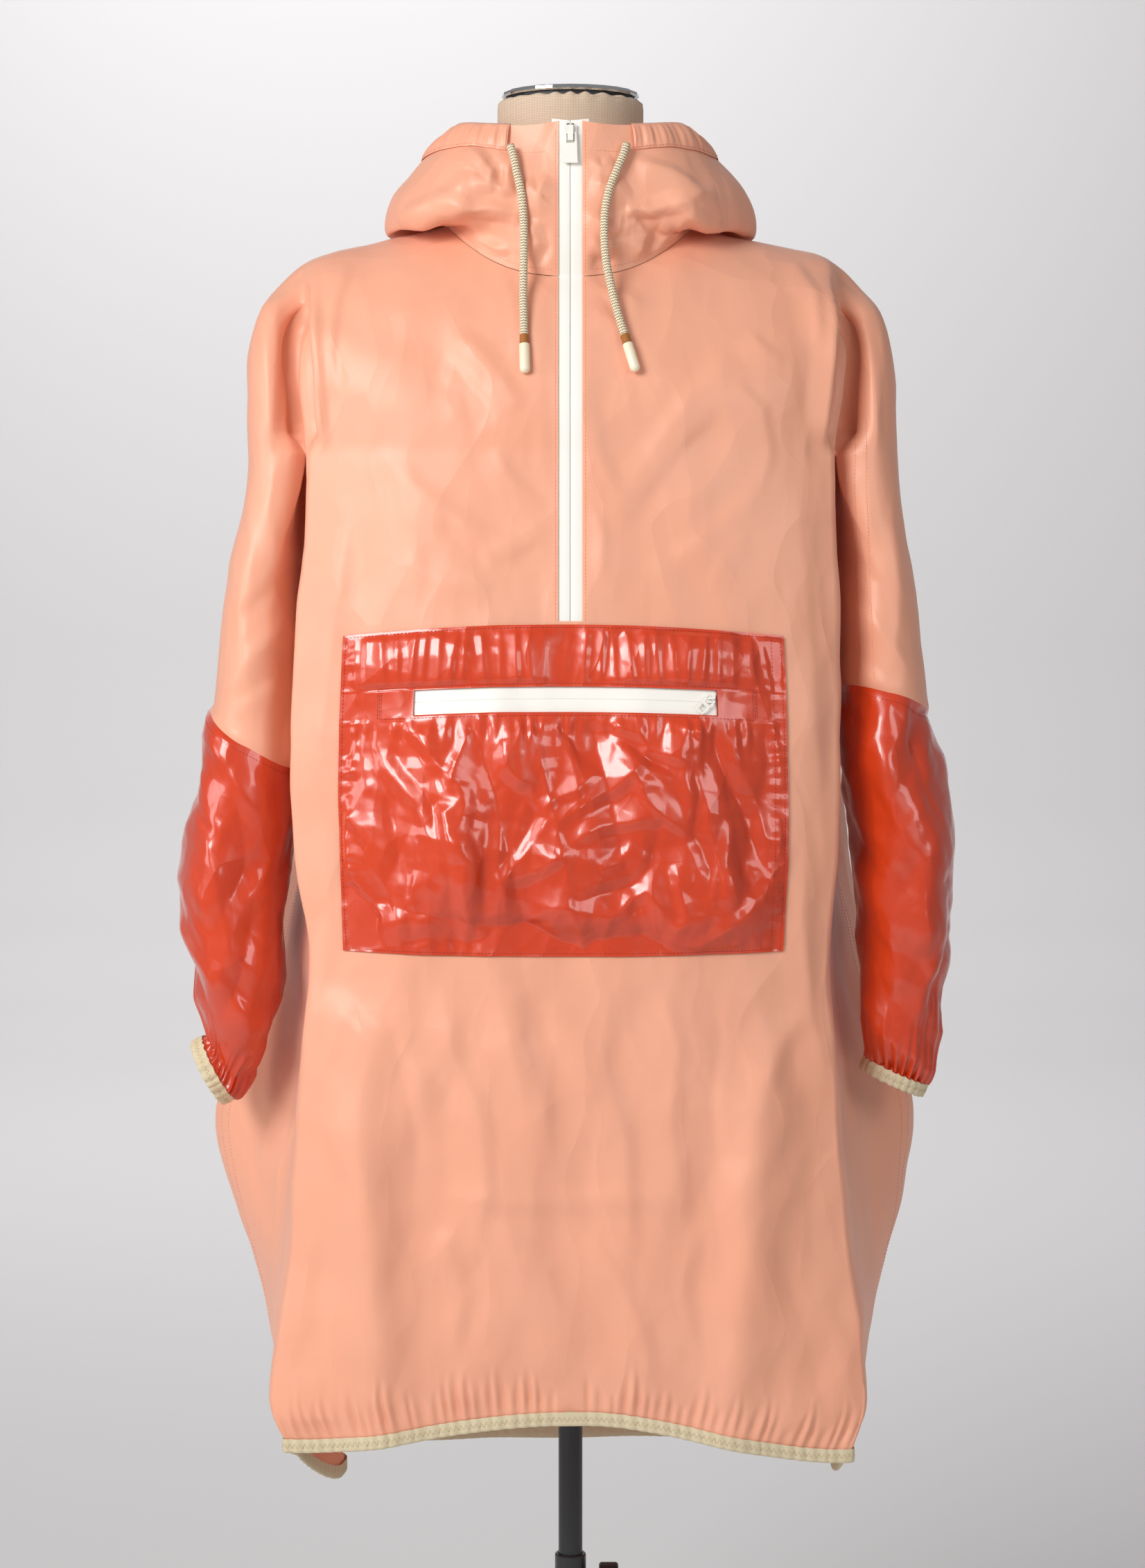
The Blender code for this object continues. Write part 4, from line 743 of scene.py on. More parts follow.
def crumple(points, size, turn=0.0, stretch=1.0, seed=0.0):
    """Flat facets that meet at sharp lines, about size metres apart: from -1 to 1."""
    shift = Vector((seed, 1.7 * seed, -2.3 * seed))
    scaled = points / size
    bend = [noise.noise_vector(Vector(p) * 0.42 + shift) for p in scaled.tolist()]
    comes = [noise.noise_vector(Vector(p) * 0.60 - shift) for p in scaled.tolist()]
    bent = scaled + 0.46 * np.array(bend)
    found = np.zeros(len(points))
    for k, strength in enumerate(np.array(comes).T):
        a = turn + k * math.pi / 3 + 0.25 * math.sin(7.0 * seed + 3.0 * k)
        along = np.array([math.cos(a), 0.3 * math.cos(2.1 * k), math.sin(a) / stretch])
        t = bent @ along + 0.37 * k
        fold = 1 - 4 * np.abs(t - np.floor(t) - 0.5)
        found += fold * np.clip(0.45 + 1.5 * strength, 0.0, 1.2)
    return found / 1.5


def swell(points, size, seed=0.0):
    """Soft waves from -1 to 1."""
    shift = Vector((seed, -seed, 2 * seed))
    return np.array([noise.noise(Vector(p) + shift) for p in (points / size).tolist()])


print("creases ready")


# %% [markdown]
# ## Nylon and the other materials
# The peach cloth is a thin uncoated ripstop-free nylon taffeta: half matt, and thin enough that a
# little light comes through it. The red cloth is the same nylon with a glossy polyurethane coat on its
# face, which is why it shows hard highlights beside plain red. A fine weave of 0.25 mm sits in both.


# %% Cloth materials
def cloth_finish(name, lit, deep, roughness, weave, glow, creases=(), **sockets):
    """A woven cloth: two near tones in soft patches, a fine weave, and light that comes through.
    Each pair in creases is the size and the depth, in metres, of its smallest wrinkles."""
    finish, shader = new_finish(name, lit, roughness, **sockets)
    where = add_node(finish, "ShaderNodeTexCoord")
    cloud = add_node(finish, "ShaderNodeTexNoise", [("Vector", where, "Object")], scale=9.0, detail=3.0)
    tone = add_node(finish, "ShaderNodeMix", [("Factor", cloud, "Fac")], data_type="RGBA")
    tone.inputs["A"].default_value = linear(deep)
    tone.inputs["B"].default_value = linear(lit)
    link(finish, shader, "Base Color", tone, "Result")
    grain = add_node(finish, "ShaderNodeTexNoise", [("Vector", where, "Object")], scale=weave, detail=1.0)
    relief = add_node(finish, "ShaderNodeBump", [("Height", grain, "Fac")], strength=0.10, distance=0.0002)
    for size, depth in creases:
        bend = add_node(finish, "ShaderNodeTexNoise", [("Vector", where, "Object")], scale=0.6 / size, detail=1.0)
        shift = add_node(finish, "ShaderNodeVectorMath", [(0, bend, "Color")], operation="SCALE")
        shift.inputs["Scale"].default_value = 1.3 * size
        place = add_node(finish, "ShaderNodeVectorMath", [(0, where, "Object"), (1, shift, "Vector")])
        long = add_node(finish, "ShaderNodeMapping", [("Vector", place, "Vector")])
        long.inputs["Rotation"].default_value = (0.0, 0.45, 0.0)
        long.inputs["Scale"].default_value = (1.0, 1.0, 0.42)
        facets = add_node(finish, "ShaderNodeTexVoronoi", [("Vector", long, "Vector")], scale=1 / size)
        relief = add_node(finish, "ShaderNodeBump", [("Height", facets, "Distance"), ("Normal", relief, "Normal")],
                          strength=1.0, distance=depth)
    link(finish, shader, "Normal", relief, "Normal")
    if glow:
        out = finish.node_tree.nodes["Material Output"]
        through = add_node(finish, "ShaderNodeBsdfTranslucent", [("Color", tone, "Result")])
        both = add_node(finish, "ShaderNodeMixShader", fac=glow)
        finish.node_tree.links.new(both.inputs[1], shader.outputs["BSDF"])
        finish.node_tree.links.new(both.inputs[2], through.outputs["BSDF"])
        finish.node_tree.links.new(out.inputs["Surface"], both.outputs["Shader"])
    return finish


# nylon taffeta, 40 denier, dyed light peach
peach = cloth_finish("peach_taffeta", "FCB899", "F8AC8A", 0.42, 2600.0, 0.14,
                     creases=((0.064, 0.0046), (0.027, 0.0009)), Sheen_Weight=0.16)
# the same nylon with a glossy polyurethane coat
red = cloth_finish("red_coated_nylon", "DA400A", "C43205", 0.35, 1900.0, 0.0,
                   creases=((0.046, 0.0062), (0.019, 0.0009)),
                   Coat_Weight=0.85, Coat_Roughness=0.13)
# polyester elastic with raised ribs
elastic = cloth_finish("cream_elastic_rib", "DCCDAC", "CFC09E", 0.85, 1500.0, 0.0)
# polyester tape under a smooth polyurethane film
tape = cloth_finish("white_zip_film", "F6F4EC", "F3F0E6", 0.42, 900.0, 0.0, Coat_Weight=0.25)
# spun polyester sewing threads, dyed to the cloths
peach_thread, _ = new_finish("peach_thread", "E8A184", 0.7)
red_thread, _ = new_finish("red_thread", "B3301A", 0.55)
cream_thread, _ = new_finish("cream_thread", "CDBB96", 0.75)
# moulded acetal and nylon
white_mould, _ = new_finish("white_moulding", "F1EFE6", 0.30, Coat_Weight=0.3)
cream_mould, _ = new_finish("cream_moulding", "F3E6C8", 0.28, Coat_Weight=0.4)
grey_stop, _ = new_finish("grey_stop", "5A5852", 0.45)
wrap_thread, _ = new_finish("tan_whipping", "A86A2C", 0.6)
# the form's fittings
chrome, _ = new_finish("polished_chrome", "D8D9DA", 0.08, Metallic=1.0)
black_coat, _ = new_finish("black_powder_coat", "232427", 0.42, Coat_Weight=0.2)
black_mould, _ = new_finish("black_moulding", "1D1D1F", 0.5)


# %% [markdown]
# ## Linen of the form
# The form is covered in natural linen. Its plain weave is coarse enough to see: a warp and a weft
# thread every 1.3 mm, drawn with two crossed waves of that pitch, with slubs from noise.

# %% Linen material
linen, shader = new_finish("natural_linen", "CDB49A", 0.9)
where = add_node(linen, "ShaderNodeTexCoord")
turn = {"warp": "X", "weft": "Z"}
threads = {}
for name, way in turn.items():
    threads[name] = add_node(linen, "ShaderNodeTexWave", [("Vector", where, "Object")],
                             bands_direction=way, scale=2 * math.pi / (20 * 0.0013), distortion=0.8)
weave = add_node(linen, "ShaderNodeMath", operation="MULTIPLY")
linen.node_tree.links.new(weave.inputs[0], threads["warp"].outputs["Fac"])
linen.node_tree.links.new(weave.inputs[1], threads["weft"].outputs["Fac"])
tone = add_node(linen, "ShaderNodeMix", [("Factor", weave, "Value")], data_type="RGBA")
tone.inputs["A"].default_value = linear("C4A98F")
tone.inputs["B"].default_value = linear("F0DFCB")
link(linen, shader, "Base Color", tone, "Result")
relief = add_node(linen, "ShaderNodeBump", [("Height", weave, "Value")], strength=0.5, distance=0.0003)
link(linen, shader, "Normal", relief, "Normal")
for node_name, finish in {
    "form_torso": linen, "neck_cap": black_mould, "neck_rim": chrome, "pole": black_coat,
    "tube": black_coat, "base": black_coat, "clamp_knob": black_mould, "zip_slider": white_mould,
    "zip_pull": white_mould, "pocket_slider": white_mould, "pocket_pull": white_mould,
}.items():
    for place in frame["nodes"][node_name].material_slots:
        place.material = finish
print(len(bpy.data.materials), "materials")


# %% [markdown]
# ## Body and sleeves
# The whole shell is built as one sheet: shoulders, body, the arch under each arm, upper sleeves and
# the red lower sleeves. It could be simulated, but the photo fixes where each large fold lies, so the
# shape is drawn and the creases are laid on.

# %% Fine sheet of the shell
YOKE_STEPS = np.linspace(0.0, 1.0, 49)
BODY_STEPS = np.linspace(0.0, 0.93, 158)
HEM_STEPS = np.linspace(0.936, 1.0, 24)
ARM_STEPS = np.linspace(0.0, 1.0, 52)
CUFF_STEPS = np.linspace(0.0, 0.64, 62)
CUFF_LAST = np.linspace(0.652, 1.0, 50)
reach = FRONT_COLS + FOLD_COLS
side_seam = reach + FLANK_COLS
over_arm = reach + ARM_COLS

shell = Sheet()
hem_rows, cuff_rows, neck_rows, elbow_rows = {}, {}, {}, {}
elbow_second, side_columns = {}, {}
middle_y = {}
for drop in (*BODY_STEPS, *HEM_STEPS):
    middle_y[drop] = sum(body_row(drop, side)[0].y for side in (1, -1)) / 2
for side in (1, -1):
    flip = side < 0
    yoke = shell.ids([yoke_row(level, side) for level in YOKE_STEPS])
    shell.grid("front", yoke[:, : over_arm + 1], flip)
    shell.grid("back", yoke[:, over_arm:], flip)
    neck_rows[side] = yoke
    body = shell.ids([body_row(drop, side) for drop in BODY_STEPS])
    hem = shell.ids([body_row(drop, side, fine=True) for drop in HEM_STEPS])
    body[0, : reach + 1] = yoke[-1, : reach + 1]
    body[0, reach + 2 * FLANK_COLS :] = yoke[-1, over_arm + ARM_COLS :]
    shell.grid("front", body[:, : side_seam + 1], flip)
    shell.grid("back", body[:, side_seam:], flip)
    shell.split("front", body[-1, : side_seam + 1], hem[0, : 2 * side_seam + 1], flip)
    shell.split("back", body[-1, side_seam:], hem[0, 2 * side_seam :], flip)
    shell.grid("front", hem[:, : 2 * side_seam + 1], flip)
    shell.grid("back", hem[:, 2 * side_seam :], flip)
    hem_rows[side] = hem
    side_columns[side] = {k: body[4:, side_seam + k] for k in (-3, 1)}
    # the closed strip between the zip's foot and the hem
    strip = []
    for drop, i in zip((*BODY_STEPS, *HEM_STEPS), (*body[:, 0], *hem[:, 0])):
        if shell.points[i][2] < 1.17:
            strip.append([shell.point((0.0, middle_y[drop], shell.points[i][2])), i])
    shell.grid("front", np.array(strip), flip)
    # the arch under the arm, and the upper sleeve
    arm = shell.ids([arm_row(f, side) for f in ARM_STEPS])
    low = [Vector(shell.points[i]) for i in body[0, reach : reach + 2 * FLANK_COLS + 1]]
    high = [Vector(shell.points[i]) for i in arm[0, ARM_COLS : ARM_COLS + 2 * FLANK_COLS + 1]]
    arch = []
    for f in np.linspace(0, 1, 7):
        step = [mix(a, b, f) for a, b in zip(low, high)]
        for k, p in enumerate(step):
            p.z += 0.006 * math.sin(math.pi * k / (2 * FLANK_COLS)) * math.sin(math.pi * f)
        arch.append(step)
    arch = shell.ids(arch)
    shell.grid("front", arch[:, : FLANK_COLS + 1], not flip)
    shell.grid("back", arch[:, FLANK_COLS:], not flip)
    under = ARM_COLS + FLANK_COLS
    shell.grid("front", arm[:, : under + 1], not flip)
    shell.grid("back", arm[:, under:], not flip)
    # the red lower sleeve
    name = "sleeve_right" if side > 0 else "sleeve_left"
    lower = shell.ids([cuff_row(f, side) for f in CUFF_STEPS])
    fine = shell.ids([cuff_row(f, side, fine=True) for f in CUFF_LAST])
    lower[0] = arm[-1]
    shell.grid(name, lower, not flip)
    shell.split(name, lower[-1], fine[0], not flip)
    shell.grid(name, fine, not flip)
    cuff_rows[side], elbow_rows[side], elbow_second[side] = fine, arm[-1], lower[2]
shell_points = np.array(shell.points)
shell_faces = {name: shell.piece(name) for name in shell.faces}
print(len(shell_points), "points;", {name: len(f) for name, f in shell_faces.items()})

# %% [markdown]
# ## Main creases of the shell
# Each row is a width and a height in millimetres and the crease's line as (x, z) in millimetres, seen
# from the front. A negative height is a valley. The back has its own list, a little different, because
# nobody presses both sides of a jacket alike.

# %% Crease tables of the peach cloth
FRONT_CREASES = [
    (9, 2.6, [(-92, 1392), (-70, 1376), (-52, 1352), (-40, 1330)]),
    (7, -2.0, [(-104, 1372), (-80, 1350), (-58, 1322)]),
    (10, 2.2, [(-150, 1300), (-120, 1268), (-80, 1240), (-40, 1222)]),
    (6, 1.8, [(-60, 1300), (-46, 1276), (-30, 1262), (-18, 1256)]),
    (6, 1.6, [(-20, 1236), (-44, 1220), (-70, 1214)]),
    (8, 2.0, [(-130, 1214), (-96, 1196), (-60, 1190)]),
    (5, -1.5, [(-100, 1246), (-84, 1228), (-62, 1210)]),
    (7, 2.2, [(20, 1432), (30, 1424), (44, 1421), (58, 1414)]),
    (6, -2.0, [(18, 1424), (32, 1414), (48, 1408)]),
    (6, 1.8, [(16, 1410), (30, 1402), (46, 1396)]),
    (11, 2.4, [(30, 1240), (60, 1290), (92, 1336), (130, 1372)]),
    (8, -2.0, [(46, 1236), (80, 1286), (120, 1326)]),
    (6, 2.0, [(128, 1352), (150, 1330), (156, 1300), (148, 1272)]),
    (5, 1.6, [(140, 1392), (156, 1376), (170, 1372)]),
    (8, 2.0, [(60, 1200), (96, 1222), (140, 1262), (166, 1300)]),
    (7, 1.8, [(16, 1330), (24, 1290), (40, 1262)]),
    (5, 1.4, [(14, 1260), (26, 1232), (24, 1200)]),
    (5, 1.4, [(108, 1190), (120, 1216), (140, 1232)]),
    (12, 3.0, [(-168, 1300), (-176, 1240), (-184, 1170), (-196, 1090), (-202, 1000)]),
    (12, 2.8, [(178, 1280), (184, 1200), (190, 1120), (196, 1040), (200, 960)]),
    (9, 2.6, [(-196, 1010), (-190, 940), (-196, 870), (-210, 800)]),
    (8, 2.4, [(186, 1000), (182, 930), (188, 860), (204, 790)]),
    (10, 3.2, [(-190, 872), (-160, 840), (-120, 812), (-90, 770)]),
    (8, -2.4, [(-150, 880), (-132, 820), (-120, 760), (-124, 700)]),
    (9, 3.0, [(-100, 884), (-92, 830), (-70, 780), (-66, 720), (-80, 660)]),
    (8, 2.4, [(-44, 880), (-40, 840), (-20, 790), (-16, 740)]),
    (9, -2.4, [(-30, 876), (-8, 820), (4, 770)]),
    (9, 2.8, [(30, 878), (26, 820), (44, 760), (46, 690), (38, 640)]),
    (8, 2.4, [(72, 880), (84, 830), (78, 770), (92, 700)]),
    (10, 3.2, [(188, 860), (168, 838), (150, 800), (140, 750)]),
    (7, -2.2, [(110, 880), (118, 840), (110, 790), (116, 740)]),
    (5, 0.9, [(-110, 720), (-40, 713), (40, 719), (100, 714)]),
    (5, -0.7, [(-90, 707), (10, 702), (90, 703)]),
    (9, 2.6, [(-60, 700), (-20, 660), (-2, 610), (-12, 570)]),
    (8, 2.4, [(14, 690), (40, 650), (60, 600), (62, 570)]),
    (9, 2.6, [(-100, 690), (-84, 640), (-92, 590)]),
    (8, 2.2, [(96, 690), (88, 640), (100, 590)]),
]
BACK_CREASES = [
    (12, 3.0, [(-140, 1400), (-90, 1370), (-30, 1356), (30, 1360), (100, 1388)]),
    (9, -2.4, [(-120, 1376), (-60, 1340), (0, 1330), (70, 1346)]),
    (10, 2.8, [(-160, 1320), (-120, 1270), (-90, 1200), (-80, 1130)]),
    (9, 2.6, [(150, 1330), (118, 1280), (96, 1210), (92, 1150)]),
    (8, 2.2, [(-40, 1300), (-24, 1240), (-30, 1180)]),
    (8, 2.2, [(36, 1290), (26, 1230), (40, 1170)]),
    (10, 2.8, [(-186, 1240), (-176, 1160), (-182, 1080), (-196, 1000)]),
    (10, 2.8, [(184, 1250), (178, 1170), (190, 1080), (200, 1010)]),
    (9, 2.6, [(-130, 1090), (-110, 1010), (-116, 930), (-104, 850)]),
    (8, -2.2, [(-60, 1100), (-44, 1030), (-50, 960)]),
    (9, 2.6, [(-20, 1080), (-6, 1000), (-14, 920), (6, 840)]),
    (9, 2.4, [(70, 1090), (56, 1010), (66, 930), (54, 850)]),
    (9, 2.8, [(130, 1080), (140, 990), (128, 900), (140, 820)]),
    (5, 0.9, [(-110, 734), (-20, 741), (80, 733)]),
    (9, 2.6, [(-150, 800), (-120, 730), (-126, 650), (-112, 580)]),
    (8, 2.4, [(-60, 790), (-50, 720), (-64, 640), (-54, 560)]),
    (9, 2.6, [(20, 780), (34, 700), (22, 620), (32, 550)]),
    (8, 2.4, [(100, 800), (90, 720), (104, 640), (94, 560)]),
    (9, 2.6, [(170, 780), (160, 700), (172, 620)]),
]
ARM_CREASES = [  # both halves of both upper sleeves, as (x from the middle, z)
    (9, 3.0, [(196, 1440), (214, 1400), (222, 1350), (224, 1290)]),
    (7, -2.4, [(206, 1446), (224, 1410), (232, 1360)]),
    (9, 2.8, [(232, 1320), (240, 1270), (236, 1210), (244, 1150)]),
    (7, 2.4, [(262, 1300), (254, 1240), (262, 1180), (256, 1120)]),
    (7, -2.0, [(222, 1230), (240, 1200), (262, 1180), (280, 1172)]),
    (7, 2.2, [(226, 1180), (246, 1160), (266, 1130), (284, 1124)]),
    (6, 2.0, [(230, 1130), (250, 1116), (270, 1104)]),
]
SHOULDER_FOLDS = [  # where each sleeve falls away from the chest
    (9, -22.0, [(-224, 1462), (-217, 1410), (-211, 1350), (-208, 1290), (-210, 1210)]),
    (6, 7.0, [(-206, 1446), (-202, 1400), (-198, 1350), (-197, 1300), (-199, 1240)]),
    (6, 4.5, [(-238, 1430), (-234, 1380), (-238, 1320), (-250, 1250)]),
    (5, 3.0, [(-176, 1452), (-186, 1420), (-190, 1380), (-186, 1340)]),
    (9, -22.0, [(214, 1210), (212, 1290), (217, 1350), (222, 1410), (220, 1462)]),
    (6, 7.0, [(206, 1444), (210, 1400), (206, 1350), (202, 1300), (202, 1240)]),
    (6, 4.5, [(236, 1424), (240, 1380), (242, 1320), (252, 1250)]),
    (5, 3.4, [(178, 1456), (194, 1424), (196, 1380)]),
]
print(len(FRONT_CREASES) + len(BACK_CREASES) + len(ARM_CREASES), "creases")


# %% [markdown]
# ## Laying the creases on
# Each point moves out or in along its normal. The creases fade out beside the zip, at the neckline and
# at the bindings, where stitching holds the cloth flat. Over the chest the cloth may sink by 1.5 mm
# only, because the form is right behind it.

# %% Creases on the shell
every_face = np.concatenate(list(shell_faces.values()))
out = normals_of(shell_points, every_face)
x, y, z = shell_points.T
flat_places = shell_points[:, [0, 2]]
facing = smooth_step(-out[:, 1] / 0.30)
behind = smooth_step(out[:, 1] / 0.30)
is_red = np.zeros(len(shell_points), bool)
for name in ("sleeve_left", "sleeve_right"):
    is_red[np.unique(shell_faces[name])] = True

lift = 0.95 * crease_lift(flat_places, FRONT_CREASES) * facing * ~is_red
lift += 1.1 * crease_lift(flat_places, BACK_CREASES) * behind * ~is_red
from_middle = np.stack([np.abs(x), np.where(x > 0, z, z + 0.012)], axis=1)
lift += crease_lift(from_middle, ARM_CREASES) * ~is_red
above_armpit = smooth_step((z - ARMPIT_Z - 0.002) / 0.018)
lift += crease_lift(flat_places, SHOULDER_FOLDS) * (facing + 0.8 * behind) * above_armpit
turned_back = from_middle + [0.004, -0.021]
lift += 0.6 * crease_lift(turned_back, ARM_CREASES) * behind * ~is_red

loose = 0.55 + 0.45 * smooth_step((1.16 - z) / 0.16) + 0.35 * smooth_step((np.abs(x) - 0.16) / 0.05)
loose = np.minimum(loose, 1.15)
soft = 0.0010 * swell(shell_points, 0.060, 3.1) + 0.0030 * crumple(shell_points, 0.120, 0.5, 2.4, 5.0)
soft += 0.0011 * crumple(shell_points, 0.044, -0.6, 1.8, 9.0)
lift += soft * loose * ~is_red
red_points = shell_points[is_red]
glossy = 0.0062 * crumple(red_points, 0.062, 0.25, 2.4, 2.0)
glossy += 0.0026 * crumple(red_points, 0.031, -0.4, 1.8, 6.0)
glossy += 0.0004 * crumple(red_points, 0.016, 0.2, 1.0, 11.0)
lift[is_red] += glossy

# stitched edges lie flat
zip_side = np.where((y < 0) & (z > 1.15), smooth_step((np.abs(x) - ZIP_HALF) / 0.016), 1.0)
lift *= np.maximum(zip_side, 0.06)
held = np.ones(len(shell_points))
for rows in neck_rows.values():
    for k in range(6):
        held[rows[k]] = np.minimum(held[rows[k]], k / 6)
for rows in elbow_rows.values():
    held[rows] = 0.25
for rows in cuff_rows.values():
    for k in range(12):
        held[rows[-1 - k]] = k / 12
for rows in hem_rows.values():
    for k in range(8):
        held[rows[-1 - k]] = k / 8
lift *= held
over_form = (z > 1.18) & (np.abs(x) < 0.188) & ~is_red
lift = np.where(over_form, np.maximum(lift, -0.0015), lift)

# %% [markdown]
# ## Gathers
# The elastic draws the cloth in at the cuffs and the hem. A gather is a small fold that stands out
# from the binding and runs up into the cloth, some further than others, eight to ten millimetres apart.


# %% Gathers at the hem and the cuffs
def gathers(rows, pitch, height, grow, seed):
    """Adds folds to a grid of points: height at each row, from grow, 0 to 1 towards the binding."""
    places = shell_points[rows[-1]]
    along = np.concatenate([[0], np.cumsum(np.linalg.norm(np.diff(places, axis=0), axis=1))])
    folds = round(along[-1] / pitch)
    rng = np.random.default_rng(seed)
    knots = np.linspace(0, along[-1], folds + 1)
    knots[1:-1] += rng.uniform(-0.28, 0.28, folds - 1) * pitch
    phase = np.interp(along, knots, np.arange(folds + 1))
    tall = np.interp(phase, np.arange(folds + 1), rng.uniform(0.45, 1.25, folds + 1))
    reach_up = np.interp(phase, np.arange(folds + 1), rng.uniform(0.25, 1.0, folds + 1))
    wave = np.cos(2 * np.pi * phase)
    wave = np.sign(wave) * np.abs(wave) ** 0.75 - 0.12
    for k, (f, near) in enumerate(grow):
        shape = np.clip(1 - (1 - f) / np.maximum(reach_up, 0.05), 0, 1) ** 1.2
        lift[rows[k]] += height * tall * wave * shape * near


count = len(HEM_STEPS)
steps = [((k + 1) / count, 1 - 0.86 * ease((k / count - 0.6) / 0.4)) for k in range(count)]
for side in (1, -1):
    gathers(hem_rows[side], 0.0092, 0.0030, steps, 7 + side)
count = len(CUFF_LAST)
steps = [((k + 1) / count, 1 - 0.85 * ease((k / count - 0.72) / 0.28)) for k in range(count)]
for side in (1, -1):
    gathers(cuff_rows[side][:, :-1], 0.0068, 0.0034, steps, 17 + side)
    lift[cuff_rows[side][:, -1]] = lift[cuff_rows[side][:, 0]]

shell_points = shell_points + out * lift[:, None]
cloth_nodes = {"front": peach, "back": peach, "sleeve_left": red, "sleeve_right": red}
shell_objects = {}
for name, finish in cloth_nodes.items():
    shell_objects[name] = make_mesh(
        name + "_cloth", shell_points, shell_faces[name], finish, nodes=(name,)
    )
trees = {
    name: BVHTree.FromPolygons(shell_points.tolist(), faces.tolist())
    for name, faces in shell_faces.items()
}
whole_tree = BVHTree.FromPolygons(shell_points.tolist(), every_face.tolist())
print("creases up to", round(1000 * float(np.abs(lift).max()), 1), "mm")

# %% [markdown]
# ## Elastic bindings
# A narrow elastic band folds over the raw edge at the hem and the cuffs. It is ribbed across, and a
# zigzag of thread runs along it. The band keeps its width while the gathered cloth behind makes it
# wave a little.


# %% Bindings
def band(name, ring, down, width, thick, node, ribs):
    """A folded band round a row of points, hanging down from it."""
    ring, down = np.array(ring), np.array(down)
    along = np.gradient(ring, axis=0)
    away = np.cross(along, down)
    away /= np.linalg.norm(away, axis=1)[:, None]
    middle = ring.mean(axis=0)
    if ((ring - middle) * away).sum() < 0:
        away = -away
    profile = [(-0.46, 0.0), (-0.5, 0.06), (-0.5, 0.5), (-0.5, 0.93), (-0.25, 1.0), (0.0, 1.02),
               (0.25, 1.0), (0.5, 0.93), (0.52, 0.75), (0.5, 0.5), (0.52, 0.25), (0.5, 0.06),
               (0.46, 0.0)]
    wave = 1 + 0.04 * np.cos(np.arange(len(ring)) * ribs)
    rows = []
    for side, drop in profile:
        rows.append(ring + away * (side * thick * wave)[:, None] + down * width * drop)
    points = np.concatenate(rows)
    ids = np.arange(len(points)).reshape(len(profile), len(ring))
    corners = [ids[:-1, :-1], ids[1:, :-1], ids[1:, 1:], ids[:-1, 1:]]
    faces = np.stack(corners, axis=-1).reshape(-1, 4)
    return make_mesh(name, points, faces, elastic, nodes=(node,)), rows


def joined_hem():
    """The hem's whole round, from the back's middle past the viewer's right to the back again."""
    right, left = hem_rows[1][-1], hem_rows[-1][-1]
    return np.concatenate([right[::-1], left])


hem_ring = shell_points[joined_hem()] + np.array([0, 0, 0.0012])
hem_down = np.tile([0.0, 0.0, -1.0], (len(hem_ring), 1))
hem_band, hem_lines = band("hem_band", hem_ring, hem_down, BINDING + 0.0012, 0.0028,
                           "hem_binding", 2.1)
cuff_bands, cuff_lines = {}, {}
for side, name in ((1, "right"), (-1, "left")):
    ring = shell_points[cuff_rows[side][-1]]
    away = np.array(cuff_away(side))
    ring = ring - away * 0.0010
    cuff_bands[side], cuff_lines[side] = band(
        "cuff_band_" + name, ring, np.tile(away, (len(ring), 1)), BINDING + 0.0010, 0.0028,
        "cuff_binding_" + name, 2.1)
print("bands of", len(hem_ring), "and", len(ring), "ribs")


# %% [markdown]
# ## The hood, worn down
# The hood is sewn into the neckline and falls over to both sides and the back. Its section is drawn at
# each angle round the neck: up from the seam, out over a lobe, and back up to the opening, where a
# casing carries the cord. The lobes rest on the shoulders, so they are kept off the cloth below.


# %% Hood functions
def neck_angle(p):
    r = YOKE.at(0.0)
    deep = r["front"] if p.y < 0 else r["back"]
    return math.degrees(math.atan2(abs(p.x) / r["wide"], -p.y / deep))


def hood_profile(angle, side, rows):
    """The hood's section as distances out and up from the neckline, one per row."""
    r = HOOD.at(angle)
    size = mix(1.0, LOBE_SIZE[side], ease((angle - 20) / 40) * ease((160 - angle) / 40))
    stations = [(0.0, 0.0)]
    for name in ("under", "fold", "lobe", "edge"):
        grown = size if name in ("fold", "lobe") else 1.0
        stations.append((r[name + "_r"] * grown, r[name + "_z"]))
    first = (-stations[1][0], -stations[1][1])
    last = (2 * stations[4][0] - stations[3][0], 2 * stations[4][1] - stations[3][1])
    fine = np.array([tuple(p) for p in spline([first, *stations, last], (24, 24, 24, 24))])
    lengths = np.concatenate([[0], np.cumsum(np.linalg.norm(np.diff(fine, axis=0), axis=1))])
    want = np.array(rows) * lengths[-1]
    return np.stack([np.interp(want, lengths, fine[:, k]) for k in (0, 1)], axis=1)


def hood_columns(side, rows):
    """The hood's places on one side: a column for each point of the neckline."""
    r = YOKE.at(0.0)
    columns = []
    for p in yoke_row(0.0, side):
        deep = r["front"] if p.y < 0 else r["back"]
        out = Vector((p.x / r["wide"] ** 2, p.y / deep**2, 0.0)).normalized()
        if abs(p.x) <= ZIP_HALF + 1e-6:
            out = Vector((0.0, out.y, 0.0)).normalized()
        steps = hood_profile(neck_angle(p), side, rows)
        columns.append([p + out * a + Vector((0, 0, b + 0.0006)) for a, b in steps.tolist()])
    return [list(row) for row in zip(*columns)]


